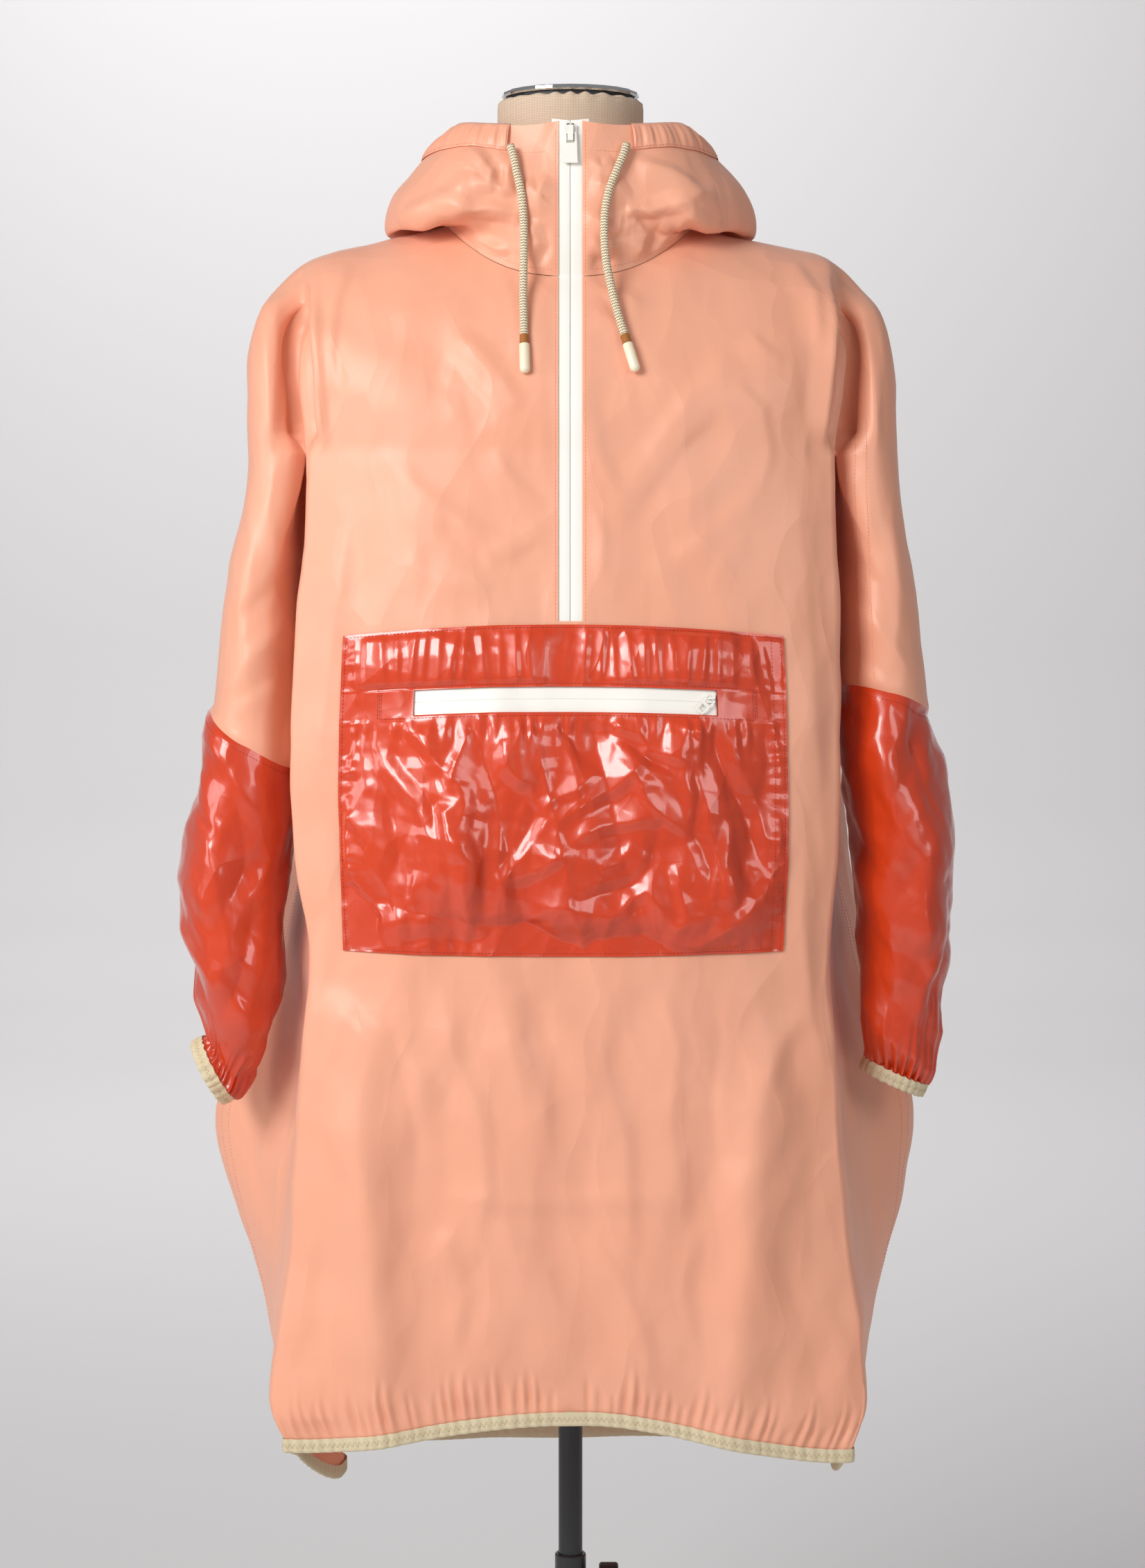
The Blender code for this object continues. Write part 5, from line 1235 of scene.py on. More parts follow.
HOOD_CREASES = [  # (width, height, line) in millimetres, seen from the front
    (8, 3.4, [(-139, 1484), (-125, 1491), (-109, 1496), (-92, 1503), (-73, 1520)]),
    (7, 4.0, [(-106, 1498), (-92, 1496), (-76, 1491), (-64, 1492), (-45, 1488), (-34, 1486)]),
    (7, -4.0, [(-115, 1472), (-102, 1479), (-94, 1480), (-77, 1484), (-45, 1478)]),
    (6, 2.8, [(-82, 1540), (-73, 1534), (-62, 1520), (-64, 1510), (-78, 1509)]),
    (5, -2.4, [(-66, 1530), (-56, 1518), (-57, 1508)]),
    (5, 2.4, [(-59, 1528), (-62, 1515), (-53, 1505), (-44, 1508)]),
    (5, 2.2, [(-45, 1534), (-50, 1517), (-46, 1500)]),
    (6, 2.6, [(-37, 1512), (-25, 1502), (-17, 1516)]),
    (6, 2.2, [(-32, 1480), (-25, 1463), (-34, 1450)]),
    (5, -1.8, [(-20, 1478), (-17, 1460), (-24, 1446)]),
    (6, 2.0, [(-80, 1474), (-64, 1462), (-50, 1456)]),
    (5, -1.8, [(-74, 1466), (-60, 1455), (-46, 1450)]),
    (8, 3.8, [(44, 1491), (64, 1490), (81, 1496), (100, 1502), (118, 1506)]),
    (6, -3.2, [(40, 1484), (60, 1482), (78, 1486), (94, 1492)]),
    (7, 3.0, [(44, 1492), (60, 1472), (54, 1456), (48, 1448)]),
    (5, -2.2, [(50, 1490), (68, 1472), (64, 1456)]),
    (6, 2.4, [(16, 1512), (32, 1506), (43, 1514)]),
    (6, 2.8, [(50, 1531), (64, 1525), (80, 1520), (96, 1510), (104, 1502)]),
    (7, 3.4, [(81, 1497), (95, 1486), (111, 1477), (134, 1470)]),
    (6, -3.4, [(88, 1483), (106, 1474), (128, 1466)]),
    (6, 2.4, [(9, 1487), (22, 1480), (38, 1470)]),
    (5, 2.2, [(12, 1466), (26, 1458), (40, 1462)]),
    (5, -2.0, [(14, 1454), (28, 1448), (38, 1451)]),
    (7, 2.6, [(70, 1478), (84, 1472), (92, 1466)]),
    (5, 2.0, [(14, 1530), (24, 1522), (34, 1530)]),
]
BACK_HOOD_CREASES = [
    (10, 4.0, [(-120, 1480), (-84, 1452), (-40, 1436), (0, 1430), (46, 1438), (96, 1458)]),
    (8, -3.4, [(-110, 1464), (-60, 1428), (0, 1416), (62, 1426)]),
    (9, 3.6, [(-96, 1510), (-60, 1482), (-10, 1470), (50, 1480), (90, 1506)]),
    (8, 3.0, [(-60, 1420), (-36, 1396), (-6, 1388)]),
    (8, 3.0, [(16, 1396), (46, 1404), (70, 1424)]),
    (7, -2.6, [(-30, 1500), (-6, 1476), (24, 1496)]),
    (7, 2.4, [(60, 1470), (84, 1440), (88, 1416)]),
]

# %% Hood surface
HOOD_STEPS = np.linspace(0.0, 1.0, 76)
cloth = Sheet()
hood_grid = {}
for side, name in ((1, "hood_right"), (-1, "hood_left")):
    rows = cloth.ids(hood_columns(side, HOOD_STEPS))
    cloth.grid(name, rows[::-1], side < 0)
    hood_grid[side] = rows
hood_points = np.array(cloth.points)
hood_faces = {name: cloth.piece(name) for name in cloth.faces}
all_hood = np.concatenate(list(hood_faces.values()))
out = normals_of(hood_points, all_hood)
places = hood_points[:, [0, 2]]
lift = 1.5 * crease_lift(places, HOOD_CREASES) * smooth_step((0.25 - hood_points[:, 1] / 0.08) / 0.5)
lift += crease_lift(places, BACK_HOOD_CREASES) * smooth_step((hood_points[:, 1] - 0.02) / 0.03)
lift += 0.0030 * crumple(hood_points, 0.090, 0.7, 1.5, 21.0)
lift += 0.0005 * crumple(hood_points, 0.034, -0.4, 1.2, 27.0)
held = np.ones(len(hood_points))
last = len(HOOD_STEPS) - 1
for side, rows in hood_grid.items():
    for k in range(7):
        held[rows[k]] = np.minimum(held[rows[k]], k / 7)
    for k in range(15):
        held[rows[last - k]] = np.minimum(held[rows[last - k]], 0.25 + 0.05 * k)
    for c in range(12):
        held[rows[:, c]] = np.minimum(held[rows[:, c]], c / 12 + 0.02)
hood_points = hood_points + out * (lift * held)[:, None]
for side, rows in hood_grid.items():
    for k in range(1, len(rows)):
        for c in range(13, rows.shape[1]):
            i = rows[k, c]
            gap = HOOD_REST * min(k / 8, 1.0) * 0.62
            hood_points[i] = rest_on(whole_tree, hood_points[i], gap)
hood_objects = {
    name: make_mesh(name + "_cloth", hood_points, faces, peach, nodes=(name,))
    for name, faces in hood_faces.items()
}
hood_tree = BVHTree.FromPolygons(hood_points.tolist(), all_hood.tolist())
out = normals_of(hood_points, all_hood)

# %% [markdown]
# ## Casing and collar hem
# The hood's edge is turned over and stitched to make a tube for the cord. It stands out a little from
# the hood, is drawn together by the cord in small folds, and ends in a slit on each side of the zip
# where the cord comes out.

# %% Casing
casing_sheet = Sheet()
mouth, foot_row = 3 * 2 * FINER, int(0.82 * last)
casing_lines = {}
for side, rows in hood_grid.items():
    strip = rows[foot_row:, mouth:]
    p, n = hood_points[strip], out[strip]
    along = np.arange(strip.shape[1])
    pucker = 0.0009 * np.sin(along * 0.62 + 1.8 * np.sin(along * 0.11)) + 0.0005 * np.sin(along * 1.7)
    steps = np.linspace(0, 1, len(strip))
    bulge = 0.0010 + 0.0026 * np.sin(np.pi * steps) ** 0.7
    raised = p + n * (bulge[:, None] + pucker * np.sin(np.pi * steps)[:, None] ** 0.5)[..., None]
    # the folded top edge goes over and a little down inside
    over = raised[-1] + np.array([0, 0, 0.0012]) - n[-1] * 0.0012
    inside = p[-1] - n[-1] * 0.0022 - np.array([0, 0, 0.004])
    rows_of_points = [*raised, over, inside]
    casing_sheet.grid("casing", [[tuple(q) for q in row] for row in rows_of_points][::-1], side < 0)
    casing_lines[side] = raised
casing_points = np.array(casing_sheet.points)
casing_object = make_mesh("casing_cloth", casing_points, casing_sheet.piece("casing"), peach,
                          nodes=("hood_casing",))
print(len(hood_points), "hood points and", len(casing_points), "casing points")

# %% [markdown]
# ## The waterproof zip
# The teeth of this zip are behind a smooth film, so it shows as a flat white tape with a fine slit
# down its middle. Each tape follows the two edges of the cloth, just behind them, from the pocket up
# to the top of the collar.


# %% Zip tapes
def zip_tape(side):
    grid, hood = neck_rows[side], hood_grid[side]
    edge = [hood_points[i] for i in hood[::-1, 0]]
    edge += [shell_points[i] for i in grid[1:, 0]]
    below = [i for i in hem_body[side] if shell_points[i][2] > 1.150]
    edge += [shell_points[i] for i in below[1:]]
    edge = np.array(edge)
    rows = []
    for p in edge:
        top = p[2] > edge[0][2] - 0.010
        back = 0.0010
        half = [(0.00016, back + 0.0005), (0.00030, back + 0.0001), (0.0007, back), (0.0045, back),
                (ZIP_HALF + 0.0004, back + 0.0002), (0.0146, back + 0.0012)]
        rows.append([(side * a, p[1] + b, p[2] + (0.0015 * a / 0.0146 if top else 0)) for a, b in half])
    sheet = Sheet()
    sheet.grid("tape", rows, side < 0)
    name = "zip_tape_right" if side > 0 else "zip_tape_left"
    return make_mesh(name + "_film", np.array(sheet.points), sheet.piece("tape"), tape, nodes=(name,))


hem_body = {side: neck_rows[side][-1:, 0].tolist() for side in (1, -1)}
for side in (1, -1):
    for drop in BODY_STEPS[1:]:
        p = body_row(drop, side)[0]
        hem_body[side].append(shell.point(p))
tapes = {side: zip_tape(side) for side in (1, -1)}
print("zip tapes", [len(t.data.vertices) for t in tapes.values()])


# %% [markdown]
# ## The pocket
# The big patch pocket is a bag of coated nylon sewn round its edge to the front. It puffs out, and its
# face is crumpled into hard facets. Above the zip the cloth is pulled into short upright folds between
# two seams. The strip round the zip window is stitched flat.


# %% Pocket shape
def front_depth(x, z):
    """How far the front panel stands forward at this place, pleats included."""
    side = 1 if x >= 0 else -1
    drop = (ARMPIT_Z - z) / (ARMPIT_Z - 0.535)
    for _ in range(4):
        r = BODY.at(drop)
        fold = r["fold_x"] + (LEFT_BODY.at(drop)["fold_x"] if side < 0 else 0.0)
        column = min(max((abs(x) - ZIP_HALF) / (fold - ZIP_HALF), 0.0), 1.0) * FRONT_COLS
        drop = (ARMPIT_Z - z) / (ARMPIT_Z - hem_height(column, side))
    y = mix(r["front"], r["fold_y"], (abs(x) / fold) ** 3)
    return y + pleat_height(x, drop, 0)


def pocket_place(across, down, rest=True):
    """A point of the pocket: across 0 to 1 from left to right, down 0 to 1 from its top."""
    x = mix(POCKET_LEFT, POCKET_RIGHT, across)
    x += 0.004 * math.sin(math.pi * down) * (2 * across - 1)
    z = mix(POCKET_TOP_Z, POCKET_LOW_Z, down)
    bow = (2 * across - 1) ** 2
    z -= mix(0.0095, -0.002, down) * bow
    edge = min(across, 1 - across) * (POCKET_RIGHT - POCKET_LEFT)
    foot = (1 - down) * (POCKET_TOP_Z - POCKET_LOW_Z)
    puff = POCKET_PUFF * ease(edge / 0.05) * ease(foot / 0.035)
    puff *= mix(0.30, 1.0, ease((down - 0.15) / 0.35)) * ease(down / 0.09)
    p = Vector((x, -front_depth(x, z), z))
    if rest:
        p = rest_on(trees["front"], p, 0.0016)
    p.y -= puff
    return p


POCKET_CREASES = [  # (width, height, line) in millimetres across and down from the top left corner
    (7, 4.6, [(126, 88), (129, 109), (139, 120), (152, 124)]),
    (8, 5.0, [(93, 122), (96, 135), (85, 145), (88, 159), (99, 184), (96, 206), (99, 247)]),
    (6, -4.0, [(104, 118), (108, 140), (102, 160), (112, 184), (110, 240)]),
    (7, 4.2, [(118, 130), (126, 150), (123, 189), (122, 245)]),
    (6, 3.6, [(153, 134), (161, 150), (142, 178), (126, 198), (129, 228)]),
    (7, 4.8, [(166, 156), (196, 134), (210, 128), (226, 112), (237, 95)]),
    (6, 4.0, [(177, 170), (202, 156), (237, 150), (247, 152)]),
    (7, -4.2, [(246, 150), (240, 186), (226, 202), (193, 211), (177, 216)]),
    (6, 3.6, [(258, 184), (261, 206), (267, 228), (250, 247)]),
    (7, 4.8, [(202, 247), (210, 228), (226, 211), (237, 206), (248, 222), (252, 240)]),
    (8, -4.6, [(283, 66), (291, 100), (307, 134), (320, 170), (328, 200)]),
    (8, 4.2, [(292, 62), (303, 100), (320, 134), (334, 190)]),
    (7, 4.4, [(329, 200), (310, 228), (285, 245), (272, 256)]),
    (8, 4.0, [(23, 80), (37, 109), (58, 134), (74, 167), (83, 200), (72, 232)]),
    (7, -3.4, [(30, 76), (48, 106), (66, 128), (86, 160)]),
    (7, 4.4, [(1, 134), (18, 159), (26, 189), (42, 222), (45, 242)]),
    (6, 4.0, [(2, 173), (12, 200), (31, 228), (37, 253)]),
    (5, -3.0, [(8, 150), (22, 180), (30, 204), (40, 232)]),
    (7, 4.2, [(96, 66), (99, 89), (91, 112), (85, 136)]),
    (7, 3.6, [(47, 66), (61, 84), (80, 109), (107, 134)]),
    (6, 3.6, [(196, 62), (210, 75), (231, 84), (237, 95), (253, 100), (278, 107)]),
    (5, -3.4, [(204, 80), (224, 92), (240, 106), (262, 116)]),
    (5, 3.2, [(250, 66), (267, 78), (285, 85)]),
    (5, 3.0, [(226, 109), (234, 134), (248, 148), (272, 164)]),
    (6, -3.2, [(268, 96), (276, 130), (272, 160), (284, 190), (282, 226)]),
    (6, 3.4, [(153, 145), (166, 134), (183, 128), (199, 112)]),
    (6, 3.2, [(129, 200), (156, 189), (180, 173)]),
    (6, 3.0, [(140, 236), (160, 220), (176, 222), (190, 240)]),
    (6, 3.6, [(8, 66), (14, 92), (6, 118)]),
    (5, -2.6, [(160, 70), (176, 84), (190, 110)]),
    (5, 3.0, [(140, 62), (152, 74), (166, 78)]),
    (6, 3.2, [(300, 150), (296, 186), (306, 220)]),
    (6, 3.0, [(226, 168), (214, 184), (200, 190)]),
    (5, 2.8, [(60, 190), (56, 214), (62, 246)]),
    (6, 3.4, [(334, 66), (338, 110), (336, 150), (341, 200)]),
]
UPRIGHT_FOLDS = [  # (across, width, height) between the top seam and the window, in millimetres
    (12, 5, 2.4), (21, 4, 1.8), (33, 6, 2.6), (45, 4, 1.6), (57, 6, 3.0), (66, 4, 2.0), (77, 5, 2.2),
    (88, 6, 3.2), (97, 4, 1.8), (111, 6, 2.4), (124, 4, 1.6), (136, 5, 2.6), (147, 4, 2.0),
    (158, 6, 1.6), (176, 7, 1.4), (190, 5, 2.4), (203, 5, 3.4), (212, 4, 2.2), (224, 6, 3.0),
    (236, 4, 2.4), (245, 5, 3.0), (257, 4, 2.0), (268, 6, 2.6), (281, 5, 3.0), (292, 4, 2.2),
    (303, 6, 2.6), (318, 5, 2.2), (330, 4, 2.0),
]

# %% Pocket surface
WIDE, TALL = POCKET_RIGHT - POCKET_LEFT, POCKET_TOP_Z - POCKET_LOW_Z
left, right, top, foot = WINDOW
across = np.unique(np.concatenate([np.linspace(0, 1, 214), [left, right]]))
down = np.unique(np.concatenate([np.linspace(0, 1, 166), [top, foot]]))
cells = np.array([[tuple(pocket_place(a, d)) for a in across] for d in down])
u, v = np.meshgrid(across * WIDE, down * TALL)
flat = np.stack([u.ravel(), v.ravel()], axis=1)
lumps = 0.85 * crease_lift(flat, POCKET_CREASES)
flat3 = np.stack([u.ravel(), 0 * u.ravel(), v.ravel()], axis=1)
lumps += 0.0088 * crumple(flat3, 0.098, 0.6, 1.5, 31.0)
lumps += 0.0020 * crumple(flat3, 0.045, -0.5, 1.3, 37.0)
lumps += 0.0004 * crumple(flat3, 0.018, 0.3, 1.0, 41.0)
lumps = lumps.reshape(u.shape)
edge = np.minimum(u, WIDE - u)
in_bag = smooth_step((v - foot * TALL - 0.002) / 0.016) * smooth_step((TALL - v) / 0.010)
in_bag *= smooth_step(edge / 0.010)
folds = np.zeros_like(u)
lean = 0.004 * np.sin(u * 61.0) + 0.003 * np.sin(u * 173.0 + 1.0)
for place, width, height in UPRIGHT_FOLDS:
    reach_to = (u - place * 0.001 - lean * (v / 0.045 - 0.5)) / (width * 0.001)
    folds += height * 0.001 * np.exp(-np.abs(reach_to * np.where(reach_to > 0, 1.9, 0.95)) ** 1.3)
above = smooth_step((v - 0.001) / 0.007) * smooth_step((top * TALL - 0.001 - v) / 0.006)
beside = np.where(u < left * WIDE, (left * WIDE - u), u - right * WIDE)
sides = smooth_step(beside / 0.012) * smooth_step(edge / 0.008)
sides *= ((v > top * TALL - 0.001) & (v < foot * TALL + 0.003))
above *= smooth_step(edge / 0.006)
# short pulls that run down from the window's lower seam
pulls = 0.0011 * np.sin(u * 560.0 + 3.0 * np.sin(u * 43.0)) * np.abs(np.sin(u * 97.0))
pulls *= np.exp(-np.abs(v - foot * TALL - 0.012) / 0.010) * smooth_step((v - foot * TALL) / 0.006)
puffed = lumps * in_bag + (0.62 * folds + 0.55 * lumps) * above + 0.45 * lumps * sides
puffed += pulls * smooth_step(edge / 0.008)
hem_tuck = 0.0007 * np.sin(u * 420.0 + 2.0 * np.sin(u * 57.0)) * np.exp(-np.abs(TALL - v - 0.008) / 0.006)
puffed += hem_tuck * smooth_step((TALL - v) / 0.003)
side_tuck = 0.0005 * np.sin(v * 510.0 + 2.0 * np.sin(v * 61.0)) * np.exp(-np.abs(edge - 0.008) / 0.005)
puffed += side_tuck * smooth_step(edge / 0.003)

ids = np.arange(u.size).reshape(u.shape)
corners = np.stack([ids[:-1, :-1], ids[1:, :-1], ids[1:, 1:], ids[:-1, 1:]], axis=-1)
out = normals_of(cells.reshape(-1, 3), corners.reshape(-1, 4))
pocket_points = cells.reshape(-1, 3) + out * puffed.reshape(-1, 1)
clear = [tuple(rest_on(trees["front"], Vector(p), 0.0010)) for p in pocket_points.tolist()]
pocket_points = np.array(clear)
c0, c1 = np.searchsorted(across, [left, right])
r0, r1 = np.searchsorted(down, [top, foot])
solid = np.ones(corners.shape[:2], bool)
solid[r0:r1, c0:c1] = False
# the cloth is turned in all round the window
shape = pocket_points.reshape(*u.shape, 3)
ring = [(r0, c) for c in range(c0, c1)] + [(r, c1) for r in range(r0, r1)]
ring += [(r1, c) for c in range(c1, c0, -1)] + [(r, c0) for r in range(r1, r0, -1)]
rim = np.array([shape[r, c] for r, c in ring])
inner = rim + np.array([0, 0.0016, 0])
shift = rim.mean(axis=0) - rim
inner += np.stack([np.sign(shift[:, 0]) * 0, shift[:, 1] * 0, np.sign(shift[:, 2]) * -0.0012], axis=1)
base = len(pocket_points)
lip = [[ids[a], ids[b], base + (k + 1) % len(ring), base + k]
       for k, (a, b) in enumerate(zip(ring, ring[1:] + ring[:1]))]
pocket_points = np.concatenate([pocket_points, inner])
pocket_faces = np.concatenate([corners[solid], np.array(lip)])
pocket_cloth = make_mesh("pocket_cloth", pocket_points, pocket_faces, red, nodes=("pocket",))
pocket_tree = BVHTree.FromPolygons(pocket_points.tolist(), pocket_faces.tolist())

# %% Pocket zip tape
sheet = Sheet()
rows = []
middle_down = (top + foot) / 2
for d in [top - 0.018, top, middle_down - 0.0032, middle_down - 0.0007, middle_down,
          middle_down + 0.0007, middle_down + 0.0032, foot, foot + 0.018]:
    slit = 0.0004 if d == middle_down else 0.0
    row = []
    for a in np.linspace(left - 0.013, right + 0.013, 90):
        p = pocket_place(a, d)
        row.append((p.x, p.y + 0.0021 + slit, p.z))
    rows.append(row)
sheet.grid("tape", rows)
pocket_tape = make_mesh("pocket_zip_film", np.array(sheet.points), sheet.piece("tape"), tape,
                        nodes=("pocket_zip_tape",))
print("pocket of", len(pocket_points), "points")


# %% [markdown]
# ## The drawcords
# A hollow braid of cream and brown yarn, 6.6 mm thick. The yarns cross in a herringbone, so brown
# chevrons go round the cord every 2.3 mm. Each end is whipped with tan thread and dipped in a moulded
# tip. The cords are made as tubes with the braid raised on them, along the route the CAD cord takes.

# %% Braid material
braid, shader = new_finish("braided_cord_yarn", "EADFC0", 0.85)
tone = add_node(braid, "ShaderNodeAttribute", attribute_name="brown_yarn")
mixed = add_node(braid, "ShaderNodeMix", [("Factor", tone, "Fac")], data_type="RGBA")
mixed.inputs["A"].default_value = linear("EEE4C8")
mixed.inputs["B"].default_value = linear("8A6440")
link(braid, shader, "Base Color", mixed, "Result")


# %% Tubes along a line
def frames_along(points):
    """Unit directions along a line of points, and two directions across it that don't twist."""
    along = np.gradient(points, axis=0)
    along /= np.linalg.norm(along, axis=1)[:, None]
    across = [np.cross(along[0], [0.0, 1.0, 0.0])]
    for step in along:
        turned = across[-1] - step * (across[-1] @ step)
        across.append(turned / np.linalg.norm(turned))
    across = np.array(across[1:])
    return along, across, np.cross(along, across)


def tube_points(line, radius):
    """Rings of points round a line; radius is one value for each ring and each step round it."""
    along, a, b = frames_along(line)
    turn = np.linspace(0, 2 * np.pi, radius.shape[1], endpoint=False)
    ring = a[:, None] * np.cos(turn)[:, None] + b[:, None] * np.sin(turn)[:, None]
    return line[:, None] + ring * radius[..., None]


def tube_faces(rings, steps):
    ids = np.arange(rings * steps).reshape(rings, steps)
    ids = np.concatenate([ids, ids[:, :1]], axis=1)
    return np.stack([ids[:-1, :-1], ids[:-1, 1:], ids[1:, 1:], ids[1:, :-1]], axis=-1).reshape(-1, 4)


def route_of(points, step):
    """A smooth line through the route's points, with a point every step."""
    ghost = [Vector(points[0]) * 2 - Vector(points[1]), *map(Vector, points)]
    ghost.append(Vector(points[-1]) * 2 - Vector(points[-2]))
    fine = np.array([tuple(p) for p in spline(ghost, (24,) * (len(points) - 1))])
    length = np.concatenate([[0], np.cumsum(np.linalg.norm(np.diff(fine, axis=0), axis=1))])
    want = np.linspace(0, length[-1], round(length[-1] / step) + 1)
    return np.stack([np.interp(want, length, fine[:, k]) for k in range(3)], axis=1), length[-1]


def lathe(name, start, along, profile, finish, node):
    """A turned piece along a direction, from (distance, radius) pairs."""
    profile = np.array(profile)
    line = np.array(start) + np.outer(profile[:, 0], along)
    line += np.outer(np.linspace(0, 1e-9, len(line)), along)
    steps = 28
    a = np.cross(along, [0.0, 1.0, 0.0])
    a /= np.linalg.norm(a)
    b = np.cross(along, a)
    turn = np.linspace(0, 2 * np.pi, steps, endpoint=False)
    ring = np.outer(np.cos(turn), a) + np.outer(np.sin(turn), b)
    points = (line[:, None] + ring * profile[:, 1][:, None, None]).reshape(-1, 3)
    return make_mesh(name, points, tube_faces(len(profile), steps), finish, nodes=(node,))


# %% Drawcords
for name, points in (("left", CORD_LEFT), ("right", CORD_RIGHT)):
    line, length = route_of(points, 0.0004)
    steps = 28
    s = np.linspace(0, length, len(line))[:, None]
    turn = np.linspace(0, 2 * np.pi, steps, endpoint=False)[None]
    zig = 2 * np.abs((turn * 8 / (2 * np.pi)) % 1.0 - 0.5)
    stripe = (s / 0.0023 + 0.42 * zig) % 1.0
    brown = smooth_step((0.21 - np.abs(stripe - 0.5)) / 0.05 + 0.5)
    plait = np.abs(np.sin(8 * turn)) ** 0.6 * 0.5 + np.abs(np.sin(2 * np.pi * (stripe))) ** 0.6 * 0.5
    radius = CORD_R * (0.90 + 0.11 * plait)
    cells = tube_points(line, radius)
    cord = make_mesh("braided_cord_" + name, cells.reshape(-1, 3), tube_faces(len(line), steps),
                     braid, nodes=("drawcord_" + name,))
    yarn = cord.data.attributes.new("brown_yarn", "FLOAT", "POINT")
    yarn.data.foreach_set("value", brown.reshape(-1))
    along = (line[-1] - line[-2]) / np.linalg.norm(line[-1] - line[-2])
    start = line[-1] + along * LAID
    turns = np.linspace(0, 1, 97)
    wrap = [(0.0, 0.0030)] + [(0.0070 * t, 0.0035 + 0.00016 * abs(math.sin(math.pi * 16 * t)))
                              for t in turns] + [(0.0070, 0.0030)]
    wrapped = lathe("whipping_" + name, start, along, wrap, wrap_thread, "cord_wrap_" + name)
    start = start + along * (0.0070 + LAID)
    tip = [(0.0, 0.0020), (0.0, 0.0034), (0.0004, 0.0039), (0.0010, 0.0041), (0.0200, 0.0041)]
    tip += [(0.0205 + 0.0040 * math.sin(a), 0.0001 + 0.0040 * math.cos(a))
            for a in np.linspace(0, math.pi / 2, 9)]
    tipped = lathe("moulded_tip_" + name, start, along, tip, cream_mould, "cord_tip_" + name)
    print("cord", name, "is", round(length * 1000, 1), "mm long")

# %% [markdown]
# ## Stitching
# A sewing machine leaves a short stitch every 3 mm. Each stitch is a small rounded bar of thread that
# lies on the cloth, along the seams that the photo shows and their like on the hidden sides. All the
# stitches of one seam are one piece.


# %% Stitch functions
def bars(name, starts, ends, out, thread, finish):
    """Small rounded bars of thread from starts to ends, lying on a surface with these normals."""
    along = ends - starts
    across = np.cross(along, out)
    across /= np.maximum(np.linalg.norm(across, axis=1), 1e-9)[:, None]
    up = out / np.maximum(np.linalg.norm(out, axis=1), 1e-9)[:, None]
    rings = []
    for t, r, rise in ((0.0, 0.30, -0.1), (0.18, 1.0, 0.35), (0.82, 1.0, 0.35), (1.0, 0.30, -0.1)):
        middle = starts + along * t + up * thread * rise
        for a in (0.0, 0.4 * np.pi, 0.8 * np.pi, 1.2 * np.pi, 1.6 * np.pi):
            rings.append(middle + (across * math.cos(a) + up * math.sin(a)) * thread * 0.5 * r)
    points = np.stack(rings, axis=1).reshape(-1, 3)
    one = tube_faces(4, 5)
    faces = (one[None] + (np.arange(len(starts)) * 20)[:, None, None]).reshape(-1, 4)
    return make_mesh(name, points, faces, finish)


def seam(name, line, out, finish, pitch=0.0030, thread=0.00042, fill=0.72, zigzag=0.0):
    """Stitches along a line of points, straight or as a zigzag of this height across it."""
    line, out = np.array(line), np.array(out)
    length = np.concatenate([[0], np.cumsum(np.linalg.norm(np.diff(line, axis=0), axis=1))])
    count = int(length[-1] / pitch)
    first = np.arange(count) * pitch
    last = first + pitch * (1.0 if zigzag else fill)
    at = lambda s, values: np.stack([np.interp(s, length, values[:, k]) for k in range(3)], axis=1)
    starts, ends, normal = at(first, line), at(last, line), at(first, out)
    if zigzag:
        across = np.cross(ends - starts, normal)
        across /= np.maximum(np.linalg.norm(across, axis=1), 1e-9)[:, None]
        swing = np.where(np.arange(count) % 2 == 0, 1.0, -1.0)[:, None] * zigzag / 2
        starts, ends = starts - across * swing, ends + across * swing
    return bars(name, starts, ends, normal, thread, finish)


def on_front(tree, places, from_y=-0.6, way=1.0):
    """Where a straight look along Y meets a surface at each (x, z), with the normal facing us."""
    found, out = [], []
    for x, z in places:
        hit, normal, _, _ = tree.ray_cast(Vector((x, from_y, z)), Vector((0, way, 0)))
        if hit is not None:
            found.append(tuple(hit))
            out.append(tuple(-normal if normal.y * way > 0 else normal))
    return np.array(found), np.array(out)


# %% Seams beside the zip and on the pocket
for side, name in ((1, "right"), (-1, "left")):
    places = [(side * 0.0117, z) for z in np.linspace(1.166, 1.436, 140)]
    line, out = on_front(trees["front"], places)
    seam("zip_seam_" + name, line, out, peach_thread)
    places = [(side * 0.0117, z) for z in np.linspace(1.440, 1.556, 60)]
    line, out = on_front(hood_tree, places)
    seam("collar_zip_seam_" + name, line, out, peach_thread)


def on_pocket(places):
    """Points of the pocket at (across, down) in millimetres from its top left corner."""
    spots = [pocket_place(a / 1000 / WIDE, d / 1000 / TALL, rest=False) for a, d in places]
    return on_front(pocket_tree, [(p.x, p.z) for p in spots])


wide, tall = WIDE * 1000, TALL * 1000
border = [(a, 2.0) for a in np.linspace(2, wide - 2, 160)]
border += [(wide - 2, d) for d in np.linspace(2, tall - 2, 120)]
border += [(a, tall - 2.2) for a in np.linspace(wide - 2, 2, 160)]
border += [(2.0, d) for d in np.linspace(tall - 2, 2, 120)]
seam("pocket_seam", *on_pocket(border), red_thread, thread=0.00048)
seam("pocket_side_seam", *on_pocket([(wide - 9.5, d) for d in np.linspace(3, tall - 12, 110)]),
     red_thread, thread=0.00042)
low, high = top * tall - 2.6, foot * tall + 2.4
frame_line = [(a, low) for a in np.linspace(31, 320, 120)] + [(320, d) for d in np.linspace(low, high, 12)]
frame_line += [(a, high) for a in np.linspace(320, 31, 120)] + [(31, d) for d in np.linspace(high, low, 12)]
